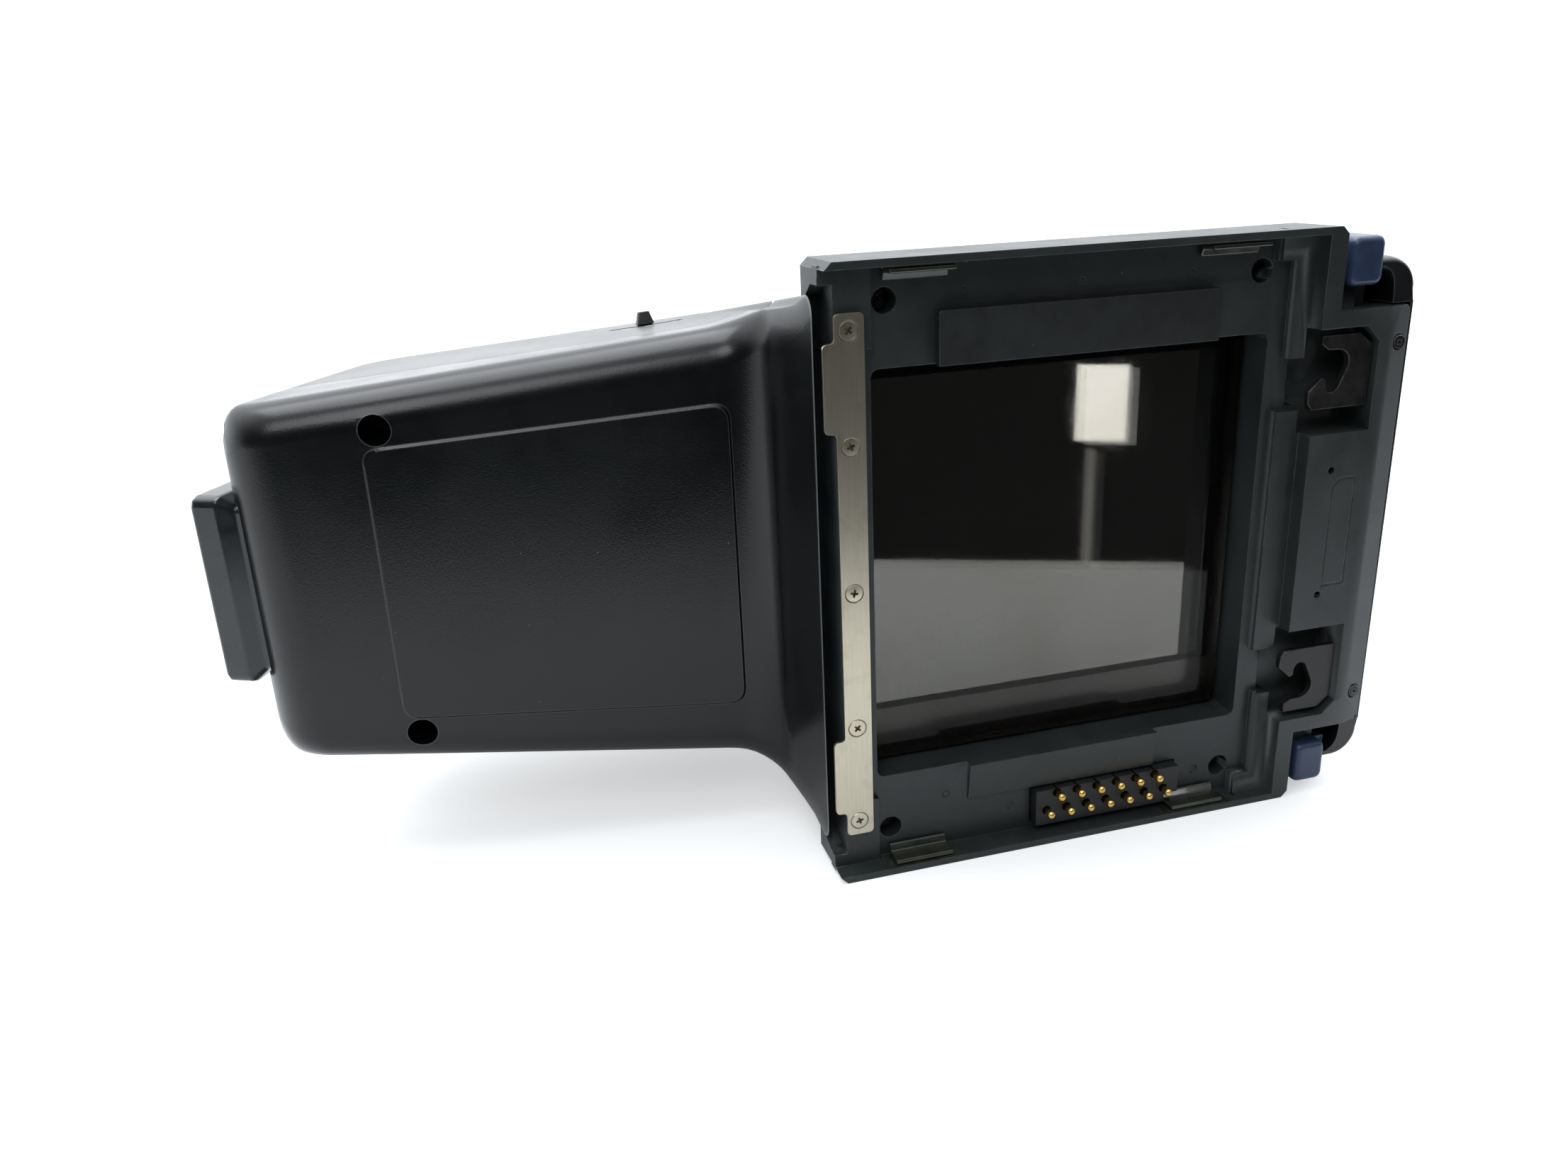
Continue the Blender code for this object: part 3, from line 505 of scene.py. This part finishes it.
def shade(obj, angle=35):
    """Smooth shading that keeps flats flat: large faces lead, sharp corners stay sharp."""
    obj.data.shade_smooth()
    obj.data.set_sharp_from_angle(angle=math.radians(angle))
    weighted = obj.modifiers.new("flat_faces_lead", "WEIGHTED_NORMAL")
    weighted.keep_sharp, weighted.weight = True, 100
    return obj


def soften(obj, width=0.2, segments=2, angle=32):
    """Break the sharp edges by a width in mm, as moulding and stamping leave them."""
    bevel = obj.modifiers.new("broken_edges", "BEVEL")
    bevel.width, bevel.segments = width * MM, segments
    bevel.limit_method, bevel.angle_limit = "ANGLE", math.radians(angle)
    bevel.use_clamp_overlap = True
    return shade(obj)


def stands_for(obj, *cad_nodes):
    """The piece replaces these CAD nodes and rides on the first one's body."""
    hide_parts(*cad_nodes)
    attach(obj, BODY_OF[cad_nodes[0]])
    print("piece:", obj.name, "faces", len(obj.data.polygons), "on", BODY_OF[cad_nodes[0]])
    return obj


def added(obj, body):
    """A small extra piece, such as a marking, that no CAD node stands for."""
    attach(obj, body)
    return obj


# %% [markdown]
# ## The mount plate
#
# The plate is the face that sits on the camera.  The casting tool left its traces on it: round
# ejector marks, two dimples, and a shallow outline where a plate number would go, left empty
# here.  The front edge slopes away by 1.4 mm so that the finder slides in under the camera's lip.

# %% Mount plate
FLOOR_Y = 4.8
base = copy_of("base_plate", CASTING)
slope = slab([(55.2, -1.0), (61.0, -1.0), (61.0, 1.6), (59.9, 1.4), (55.2, 0.0)], -39, 39, "Z")
cuts = [slope]
for x, z in ((-19.6, 45.9), (0.3, 45.9), (19.9, 45.9), (-22.4, -40.9)):
    ring = [(FLOOR_Y - 0.3, 0.52), (FLOOR_Y - 0.3, 0.72), (FLOOR_Y + 0.12, 0.72),
            (FLOOR_Y + 0.12, 0.52)]
    cuts.append(turned(ring, (x, 0, z), sides=24, closed=True))
for x, z in ((-10.0, -45.6), (27.6, -45.4)):
    cuts.append(turned([(FLOOR_Y - 0.3, 0.9), (FLOOR_Y + 0.35, 0.75)], (x, 0, z), sides=20))
for side in (1, -1):
    cuts.append(turned([(-0.5, 0.65), (2.5, 0.65)], (46.7, 0, side * 11.4), sides=20))
    cuts.append(slab(mirrored([(34.5, 46.0), (35.2, 46.0), (35.2, 52.0), (34.5, 52.0)], side),
                     2.0, 3.6))
label = [(47.2, -9.9), (51.9, -9.9), (51.9, 9.9), (48.6, 9.9), (47.2, 8.5)]
outer, inner = fillet(label, 0.5, 3), fillet([(x + (0.3 if x < 49.5 else -0.3), z * 0.968)
                                              for x, z in label], 0.4, 3)
groove = bridge(bmesh.new(), [[(x, y, z) for x, z in ring] for ring, y in
                              ((outer, -0.5), (outer, 0.12), (inner, 0.12), (inner, -0.5))],
                closed=True)
cuts.append(groove)
carve(base, "DIFFERENCE", cuts)
shade(base)
stands_for(base, "base_plate")

# %% [markdown]
# ## The locating strip and its screws
#
# A stamped steel strip takes the wear of the camera's rear hook.  Its corners are rounded by
# 0.9 mm.  Countersunk cross-head screws hold it: each head is a turned disc with a shallow dome,
# and the cross recess is cut by two tapered bars that meet in a point.

# %% Locating strip
half_strip = [(-36.7, 44.3), (-41.4, 44.3), (-41.4, 39.9), (-43.3, 39.9), (-43.3, 26.2),
              (-41.4, 26.2)]
outline = fillet(half_strip + [(x, -z) for x, z in reversed(half_strip)], 0.85, 5)
strip = solid("rear_locating_strip_fine", slab(outline, 2.7, 3.3), NICKEL)
SCREW_Z = [(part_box(f"strip_screw_{i}")[0].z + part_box(f"strip_screw_{i}")[1].z) / 2 for i in
           range(1, 6)]
SCREW_Z = [(z - ORIGIN.z) / MM for z in SCREW_Z]
print("strip screws at", [round(z, 2) for z in SCREW_Z])
carve(strip, "DIFFERENCE", [turned([(2.0, 1.62), (2.75, 1.62), (3.4, 1.2), (4.0, 1.2)],
                                   (-39.2, 0, z), sides=32) for z in SCREW_Z])
soften(strip, 0.14, 3)
stands_for(strip, "rear_locating_strip")


# %% Cross-head screws
def cross_screw(cad_node, mat, centre, top, radius, dome, turn, depth=0.9):
    """A cross-head screw whose head's face is at Y = top."""
    profile = [(top - dome, 0.02), (top - dome * 0.85, radius * 0.45), (top, radius * 0.93),
               (top + 0.12, radius), (top + 0.35, radius), (top + 1.2, radius * 0.5),
               (top + 4.0, radius * 0.5)]
    screw = solid(cad_node + "_fine", turned(profile, centre, sides=36), mat)
    arms = []
    x, _, z = centre
    for extra in (0, 90):
        a = math.radians(turn + extra)
        along, across = Vector((math.cos(a), math.sin(a))), Vector((-math.sin(a), math.cos(a)))
        rings = []
        for y, long, wide in ((top - 1.0, 0.62, 0.16), (top + depth, 0.25, 0.10)):
            ring = [along * sx * radius * long + across * sz * radius * wide
                    for sx, sz in ((-1, -1), (1, -1), (1, 1), (-1, 1))]
            rings.append([(x + p.x, y, z + p.y) for p in ring])
        arms.append(bridge(bmesh.new(), rings))
    carve(screw, "DIFFERENCE", arms)
    screw.data.shade_smooth()
    screw.data.set_sharp_from_angle(angle=math.radians(30))
    return stands_for(screw, cad_node)


for i, z in enumerate(SCREW_Z):
    cross_screw(f"strip_screw_{i + 1}", NICKEL, (-39.2, 0, z), 2.72, 1.5, 0.06, 17 + 31 * i)


def middle(cad_node):
    low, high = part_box(cad_node)
    spot = ((low + high) / 2 - ORIGIN) / MM
    return (spot.x, 0, spot.z), (low.y - ORIGIN.y) / MM


for kind, count, radius in (("rim_screw_", 2, 1.15), ("cover_screw_", 2, 2.1),
                            ("base_screw_", 4, 1.6)):
    for i in range(count):
        centre, top = middle(f"{kind}{i + 1}")
        cross_screw(f"{kind}{i + 1}", BLACK_STEEL, centre, top + 0.1, radius, 0.08, 40 + 25 * i)

# %% [markdown]
# ## The two covers
#
# The covers are one flowing shell that was split for moulding: a tall box over the prism, and a
# rear housing that tapers to the eyepiece.  The housing is skinned over sections along its
# length.  Its underside slopes by 7 degrees, and where it meets the mount plate it turns down in
# a fillet of 7 mm to a lip that stands beside the plate.  The rear end leans by 28 degrees, so
# that the eyepiece looks up and back.

# %% Walls of the rear housing
HOUSING_REAR_X = -135.0
LIP_X = -43.9
WALL = 2.2
TILT = math.radians(28)
LEAN_FROM_Y = 44.0


def side_low(x):
    return 40.2 + (x + 47) * 0.10


def side_high(x):
    return 35.5 + (x + 47) * 0.063


def underside_y(x):
    return 27.1 - (x + 52.4) * 0.1238


def roll(x, start, radius):
    """The drop of a quarter round that begins at start and runs rearwards."""
    run = min(max(start - x, 0.0), radius)
    return radius - math.sqrt(radius * radius - run * run)


def lip_drop(x):
    """How far the underside has turned down towards the mount plate."""
    fillet_radius = 7.0
    run = min(max(x + 53.0, 0.0), fillet_radius)
    drop = fillet_radius - math.sqrt(fillet_radius ** 2 - run ** 2)
    wall = max(x + 46.0, 0.0) / (LIP_X + 46.0)
    return drop + wall * 13.4


def side_flare(x):
    t = min(max((LIP_X - x) / 11.5, 0.0), 1.0)
    return 1 - math.sqrt(1 - (1 - t) ** 2)


def rear_lean(x, y):
    """How far a point of the rear end leans forward: more the higher and the further back."""
    share = min(max((-78.0 - x) / 42.0, 0.0), 1.0)
    return math.tan(TILT) * max(y - LEAN_FROM_Y, 0.0) * share


def section(x, inset, steps, flared=True):
    end = HOUSING_REAR_X + inset
    low_drop, side_drop, top_drop = roll(x, end + 9, 9), roll(x, end + 4, 4), roll(x, end + 10, 10)
    flare = side_flare(x) if flared else 0.0
    y0 = underside_y(x) + low_drop + inset - (lip_drop(x) if flared else 0.0)
    y1 = 89.0 + (x + 47) * 0.03 - top_drop - inset
    z0 = side_low(x) + 6.2 * flare - side_drop - inset
    z1 = side_high(x + rear_lean(x, y1)) - side_drop - inset
    r = max(6.4 - inset, 1.0)
    r0 = r * (1 - 0.55 * flare)
    half = arc(y1 - r, z1 - r, r, 0, 90, steps) + arc(y0 + r0, z0 - r0, r0, 90, 180, steps)
    right = [(x + rear_lean(x, y), y, z) for y, z in half]
    return right + [(x, y, -z) for x, y, z in reversed(right)]


def housing(inset, steps):
    end = HOUSING_REAR_X + inset
    front = [-43.9, -44.4, -45.0, -45.6, -46.0, -46.2, -46.6, -47.2, -48.0, -49.2, -50.6, -52.0,
             -53.6, -55.6]
    long_run = [-66.0, -78.0, -85.0, -92.0, -99.0, -106.0, -113.0, -120.0]
    back = [end + v for v in (10, 8.6, 7.4, 6, 4.8, 3.7, 2.7, 1.9, 1.2, 0.6, 0.2, 0)]
    stations = front + long_run + back
    rings = [section(x, inset, steps) for x in stations]
    bm = bridge(bmesh.new(), rings)
    bmesh.ops.triangulate(bm, faces=[f for f in bm.faces if len(f.verts) == 4])
    return bm


# %% [markdown]
# The box over the prism narrows upwards, and its front slopes back.  Sections at seven heights
# are joined by straight walls in the CAD; here a smooth curve runs through them, which is how
# the moulded surface really bends.

# %% Box over the prism
LEVELS = ((12.3, 61.0, 48.5), (21.0, 58.5, 46.2), (46.0, 48.0, 40.6), (70.0, 36.0, 35.6),
          (82.0, 28.5, 32.0), (87.5, 22.5, 28.5), (90.0, 15.0, 22.0))


def through(values, t):
    """A smooth curve through a row of values, t from 0 to the last index."""
    i = min(int(t), len(values) - 2)
    u = t - i
    before, a = values[max(i - 1, 0)], values[i]
    b, after = values[i + 1], values[min(i + 2, len(values) - 1)]
    return 0.5 * (2 * a + (b - before) * u + (2 * before - 5 * a + 4 * b - after) * u * u
                  + (3 * a - before - 3 * b + after) * u ** 3)


def prism_box(inset, steps=10, fine=4):
    rings = []
    count = (len(LEVELS) - 1) * fine
    for k in range(count + 1):
        t = k / fine
        y, front, half = (through([level[i] for level in LEVELS], t) for i in range(3))
        y = (y - inset if k else y - 5.0) if inset else y
        outline = rounded(-43.4 + inset, front - inset, -half + inset, half - inset, 9 - inset,
                          steps)
        rings.append([(x, y, z) for x, z in outline])
    bm = bridge(bmesh.new(), rings)
    bmesh.ops.triangulate(bm, faces=[f for f in bm.faces if len(f.verts) == 4])
    return bm


LIP_EDGE = ((15.3, 0.0), (4.0, 0.0), (3.0, 0.12), (2.3, 0.35), (1.85, 0.7), (1.7, 1.15))


def front_lip():
    """The lip's straight run in front of the mount plate, with the same rounded edge."""
    rings = []
    for y, inset in LIP_EDGE:
        outer = 61.1 - inset * 0.45
        rings.append([(x, y, z) for x, z in ((60.1, -39.0), (outer, -39.0), (outer, 39.0),
                                             (60.1, 39.0))])
    return bridge(bmesh.new(), rings)


def corner_lip(side):
    """The lip that curves round the outside of a button notch."""
    rings = []
    for y, inset in LIP_EDGE:
        points = [(61.0 - inset * 0.45, 38.8)] + arc(55.6, 41.0, 5.45 - inset, 0, 90, 14)
        points += [(51.5, 46.45 - inset), (51.5, 44.9), (54.2, 44.9), (55.4, 44.1), (56.1, 43.0),
                   (56.4, 41.8), (56.5, 40.4), (56.5, 38.8)]
        rings.append([(x, y, z) for x, z in mirrored(points, side)])
    return bridge(bmesh.new(), rings)


def shell(name, mat):
    """The whole outer shell before it is split."""
    body = solid(name, prism_box(0), mat)
    carve(body, "UNION", [housing(0, 9), corner_lip(1), corner_lip(-1), front_lip()])
    carve(body, "DIFFERENCE", [prism_box(WALL, 4, 1), housing(WALL, 3)])
    return body


def split_line(gap):
    """The side view of all that belongs to the underside cover."""
    s = gap / 2
    return [(-160, 0), (-43.4 - s, 0), (-43.4 - s, 20)] + [
        (-43.6 - s, 26.0), (-44.3 - s, 31.0), (-45.6 - s, 35.5), (-47.6 - s, 38.8),
        (-50.2 - s, 40.7 - s), (-53.4, 41.8 - s), (-135, 60 - s), (-160, 65 - s)]


# %% Cut the shell in two
def eyepiece_opening():
    """A hole for the neck, drawn in the eyepiece's own tilted plane."""
    low = (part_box("eyepiece_frame")[0] - ORIGIN) / MM
    c, t = math.cos(TILT), math.sin(TILT)
    return bridge(bmesh.new(), [[(low.x + depth * c + (y - 0.6) * t, 44.7 - depth * t + y * c, z)
                                 for y, z in rounded(1.4, 25.6, -15.6, 15.6, 0.8)]
                                for depth in (-4.0, 11.8)])


def wall_frame():
    """A frame on the right side wall at the mode switch: along it, up it, and out of it."""
    low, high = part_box("mode_switch_knob")
    spot = ((low + high) / 2 - ORIGIN) / MM
    t = (69.5 - (underside_y(spot.x) + 8)) / (81 + (spot.x + 47) * 0.03 - underside_y(spot.x) - 8)
    z = side_low(spot.x) + (side_high(spot.x) - side_low(spot.x)) * t
    along = Vector((1, 0, 0.10 - 0.037 * t)).normalized()
    lean = (side_high(spot.x) - side_low(spot.x)) / (73 + (spot.x + 47) * 0.03
                                                     - underside_y(spot.x))
    out = along.cross(Vector((0, 1, lean))).normalized()
    up = out.cross(along)
    return Vector((spot.x, 69.5, z)), along, up, out


def on_wall(points, low, high):
    """A slab that stands on the right side wall, drawn along and up the wall."""
    spot, along, up, out = wall_frame()
    return bridge(bmesh.new(), [[tuple(spot + along * a + up * b + out * t) for a, b in points]
                                for t in (low, high)])


top = shell("top_cover_fine", TOP_COVER)
carve(top, "DIFFERENCE", [slab(split_line(0), -70, 70, "Z"), eyepiece_opening(),
                          on_wall(rounded(-7.4, 7.4, -1.0, 1.0, 0.9), -6, 6)])
soften(top, 0.3, 3, 40)
stands_for(top, "top_cover")

under = shell("underside_cover_fine", COVER)
carve(under, "INTERSECT", [slab(split_line(0.5), -70, 70, "Z")])
WELLS = [(-110, 0, 27.3), (-110, 0, -27.3)]
bosses = [turned([(36.0, 3.9), (48.6, 3.9)], spot) for spot in WELLS]
carve(under, "UNION", bosses)
panel = fillet([(-52.4, -27.9), (-52.4, 27.9), (-112.6, 24.3), (-112.6, -24.3)], 3.0, 8)
MIDDLE_X = -82.5
raised = bridge(bmesh.new(), [[((x - MIDDLE_X) * shrink + MIDDLE_X, underside_y(x) + lift, z * shrink)
                               for x, z in panel]
                              for lift, shrink in ((1.0, 1.0), (-0.08, 1.0), (-0.5, 0.984))])
carve(under, "UNION", [raised])
wells = [turned([(20, 2.6), (45.6, 2.6)], spot) for spot in WELLS]
wells += [turned([(40, 1.3), (60, 1.3)], spot) for spot in WELLS]
carve(under, "DIFFERENCE", wells + [eyepiece_opening()])
soften(under, 0.14, 2, 40)
stands_for(under, "underside_cover")

# %% [markdown]
# ## Release latches
#
# Each side has a finger button and, on the same slide, a blackened hook plate with a J slot that
# catches a stud of the camera.  Button and plate move as one piece towards the middle.  The
# finger block is rounded all over its front, by rings that shrink towards the front face.

# %% Buttons and hook plates
for label in ("right", "left"):
    side = 1 if label == "right" else -1
    button = copy_of("release_button_" + label, BLUE)
    stem = mirrored([(46.0, 36.0), (56.0, 36.0), (56.0, 46.8), (46.0, 46.8)], side)
    carve(button, "INTERSECT", [slab(stem, 3.3, 13.0)])
    rings = []
    for y, inset in ((0.7, 1.1), (0.82, 0.65), (1.1, 0.3), (1.5, 0.08), (2.0, 0.0), (11.2, 0.0),
                     (11.7, 0.4)):
        finger = rounded(47.0 + inset, 53.3 - inset, 42.1 + inset, 50.1 - inset, 1.5 - inset / 2, 6)
        rings.append([(x, y, z) for x, z in mirrored(finger, side)])
    shade(carve(button, "UNION", [bridge(bmesh.new(), rings)]), 50)
    stands_for(button, "release_button_" + label)
    plate = soften(copy_of("hook_plate_" + label, BLACK_STEEL), 0.12, 2)
    stands_for(plate, "hook_plate_" + label)

# %% [markdown]
# ## Contacts and pads
#
# Thirteen sprung pins bring the camera's signals in.  Each tip is a dome on a collar that slides
# in the insulator.  The pads on the rails are folded film that keeps the fit free of rattle,
# on a strip of clear tape slightly longer than the pad.

# %% Contact block and pins
stands_for(soften(copy_of("contact_block", INSULATOR), 0.12, 2), "contact_block")
for i in range(1, 14):
    centre, tip = middle(f"contact_pin_{i:02d}")
    dome = [(tip + 0.76 - y, r) for r, y in arc(0, 0, 0.76, 88, 0, 8)]
    profile = dome + [(tip + 1.0, 0.76), (tip + 1.2, 0.66), (tip + 1.75, 0.66), (tip + 2.05, 0.5),
                      (tip + 7.6, 0.5)]
    pin = solid(f"contact_pin_{i:02d}_fine", turned(profile, centre, sides=28), GOLD)
    pin.data.shade_smooth()
    pin.data.set_sharp_from_angle(angle=math.radians(40))
    stands_for(pin, f"contact_pin_{i:02d}")

# %% Rail pads and light shield
for i in range(1, 5):
    stands_for(soften(copy_of(f"rail_pad_{i}", PAD), 0.3, 3), f"rail_pad_{i}")
    centre, _ = middle(f"rail_pad_{i}")
    side = 1 if centre[2] > 0 else -1
    film = [(centre[0] - 6.6, 0.3), (centre[0] + 6.9, 0.2), (centre[0] + 6.3, 4.3),
            (centre[0] - 6.2, 4.4)]
    ends = sorted((side * 50.78, side * 50.62))
    tape = solid(f"pad_tape_{i}", slab(fillet(film, 0.5), ends[0], ends[1], "Z"), PAD)
    added(tape, "finder_body")
stands_for(soften(copy_of("upper_light_shield", SHIELD), 0.15, 2), "upper_light_shield")

# %% [markdown]
# ## Glass, eyepiece and electronics
#
# The field lens closes the screen opening.  Behind it stand the roof prism, its clamp and the
# eyepiece tube; they are finished too, because they show through the glass and the window.
# A lens's ground edge is painted black to stop stray light, and so it is here.

# %% Optics
field_lens = copy_of("field_lens", GLASS)
field_lens.data.materials.append(MASK)
for face in field_lens.data.polygons:
    face.material_index = 1 if abs(face.normal.y) < 0.5 else 0
stands_for(soften(field_lens, 0.15, 2), "field_lens")
stands_for(soften(copy_of("roof_prism", PRISM), 0.4, 2), "roof_prism")
frame_edge = rounded(-34.8, 34.8, -34.8, 34.8, 0.8)
frame_hole = rounded(-33.8, 34.4, -26.5, 34.2, 0.5)
mask = solid("viewing_mask", bridge(bmesh.new(), [[(x, y, z) for x, z in ring] for ring, y in (
    (frame_edge, 13.7), (frame_edge, 14.6), (frame_hole, 14.6), (frame_hole, 13.7))], True), MASK)
added(mask, "finder_body")
stands_for(soften(copy_of("prism_clamp", BLACK_STEEL), 0.3, 2), "prism_clamp")
stands_for(soften(copy_of("eyepiece_tube", BLACK_STEEL), 0.3, 2, 40), "eyepiece_tube")
lens_profile = [(-113.2 - 0.9 * (1 - (k / 8) ** 2), 0.02 + 7.2 * k / 8) for k in range(9)]
lens_profile += [(-111.0, 9.4), (-107.5, 9.5), (-105.5, 9.4)]
lens_profile += [(-103.6 + 0.9 * (1 - (k / 8) ** 2), 0.02 + 7.2 * k / 8) for k in range(8, -1, -1)]
lens = solid("eyepiece_lens_fine", turned(lens_profile, (0, 58.0, 0), "X", 56), GLASS)
lens.data.shade_smooth()
lens.data.set_sharp_from_angle(angle=math.radians(40))
stands_for(lens, "eyepiece_lens")
stands_for(soften(copy_of("eyepiece_frame", GLOSS), 0.35, 3), "eyepiece_frame")
stands_for(soften(copy_of("eyepiece_glass", GLASS), 0.12, 2), "eyepiece_glass")

# %% Electronics and springs
for cad_node, mat in (("meter_circuit_board", BOARD), ("readout_display", INSULATOR),
                      ("metering_cell", RESIN)):
    stands_for(soften(copy_of(cad_node, mat), 0.2, 2), cad_node)
for label in ("right", "left"):
    spring = frame["nodes"]["latch_spring_" + label]
    spring.data.materials.clear()
    spring.data.materials.append(NICKEL)

# %% [markdown]
# ## The mode switch
#
# A small thumb nub slides in a slot of the right side wall.  The white marks under it are pad
# print, about 0.03 mm thick; plain bars take the place of letters.

# %% Mode switch and its marks
stands_for(soften(copy_of("mode_switch_knob", INSULATOR), 0.25, 3), "mode_switch_knob")
for i, (along, wide) in enumerate(((-4.5, 1.6), (0.0, 1.6), (4.5, 1.6))):
    mark = solid(f"switch_mark_{i + 1}",
                 on_wall(rounded(along - wide / 2, along + wide / 2, -3.9, -3.3, 0.2), -0.01, 0.03),
                 MARKING)
    added(mark, "finder_body")

# %% [markdown]
# ## Table, light and camera
#
# The finder lies on a pale table whose near edge is just in front of it.  Beyond the table the
# room is dark, which is why the glass shows a dark upper half and a grey lower half.  The light
# is broad and comes from behind and above, so that the side walls catch a long soft highlight.

# %% Table and backdrop
def table_material(name, hex_code, rough):
    """A pale laminate, over-exposed for the eye as a high-key studio table is."""
    mat, tree = new_material(name)
    mottle = cloud(tree, 60.0, 3.0)
    colour = blend(tree, times(tree, mottle, 0.3), hex_code, "#dcdddd")
    glow = between(tree, node(tree, "LightPath").outputs["Is Camera Ray"], 0.05, 0.42)
    shader = node(tree, "BsdfPrincipled", {
        "Base Color": colour, "Roughness": rough, "IOR": 1.46,
        "Emission Color": (1.0, 1.0, 1.0, 1.0), "Emission Strength": glow})
    return close(mat, tree, shader.outputs[0])


TABLE = table_material("white_laminate_table", "#d2d4d5", 0.45)
FLOOR_Z = -HALF_WIDTH
table = solid("studio_table", slab([(-1500, -160), (-30, -142), (17, -133), (108, -92), (260, -92),
                                    (1500, -160), (1500, 3000), (-1500, 3000)],
                                   FLOOR_Z - 12, FLOOR_Z, "Z"), TABLE)

# %% Camera
CAMERA_AT = (-96.64, -170.70, 68.37)
right = Vector((0.96186, -0.27022, -0.04245))
up = Vector((0.13154, 0.32089, 0.93794))
back = -Vector((0.23982, 0.90775, -0.34420))
camera = bpy.data.objects.new("camera", bpy.data.cameras.new("camera"))
camera.data.lens, camera.data.sensor_width = 27.88, 36.0
camera.data.clip_start = 0.01
turn = Matrix((right, up, back)).transposed().to_4x4()
camera.matrix_world = Matrix.Translation(place(*CAMERA_AT)) @ turn
bpy.context.collection.objects.link(camera)
bpy.context.scene.camera = camera


# %% Lights
def area_light(name, at, towards, size, power, colour="#ffffff"):
    data = bpy.data.lights.new(name, "AREA")
    data.shape, data.size, data.size_y = "RECTANGLE", size[0] * MM, size[1] * MM
    data.energy, data.color = power, linear(colour)[:3]
    light = bpy.data.objects.new(name, data)
    light.location = place(*at)
    light.rotation_mode = "QUATERNION"
    aim = place(*towards) - place(*at)
    light.rotation_quaternion = aim.to_track_quat("-Z", "Y")
    bpy.context.collection.objects.link(light)
    return light


area_light("window_card", (150, -228, -34), (10, 10, 24), (20, 30), 0.012)
area_light("window_stand", (146, -228, -86), (10, 10, 24), (4, 66), 0.0007)
area_light("overhead_bank", (-60, 160, 620), (-30, 30, 0), (700, 500), 5.0, "#f6f9ff")
area_light("front_fill", (-300, -420, 480), (0, 0, 0), (300, 300), 1.2, "#fbfcff")

# %% World: white behind, dark in front
world = bpy.data.worlds.new("studio_world")
bpy.context.scene.world = world
world.use_nodes = True
sky = world.node_tree
sky.nodes.clear()
direction = node(sky, "TexCoord").outputs["Generated"]
parts = node(sky, "SeparateXYZ", {0: direction})
depth = node(sky, "MapRange", {"Value": parts.outputs["Y"], "From Min": -0.25, "From Max": 0.35,
                               "To Min": 0.05, "To Max": 2.0})
height = node(sky, "MapRange", {"Value": parts.outputs["Z"], "From Min": 0.35, "From Max": 0.8,
                                "To Min": 0.0, "To Max": 1.0})
total = node(sky, "Math", {0: depth.outputs[0], 1: height.outputs[0]}, operation="ADD")
seen = node(sky, "LightPath")
lit = node(sky, "Background", {"Color": linear("#f3f7fb"), "Strength": total.outputs[0]})
paper = node(sky, "Background", {"Color": (1, 1, 1, 1), "Strength": 1.15})
mixed = node(sky, "MixShader", {0: seen.outputs["Is Camera Ray"], 1: lit.outputs[0],
                                2: paper.outputs[0]})
node(sky, "OutputWorld", {"Surface": mixed.outputs[0]})
bpy.context.scene.view_settings.view_transform = "Standard"
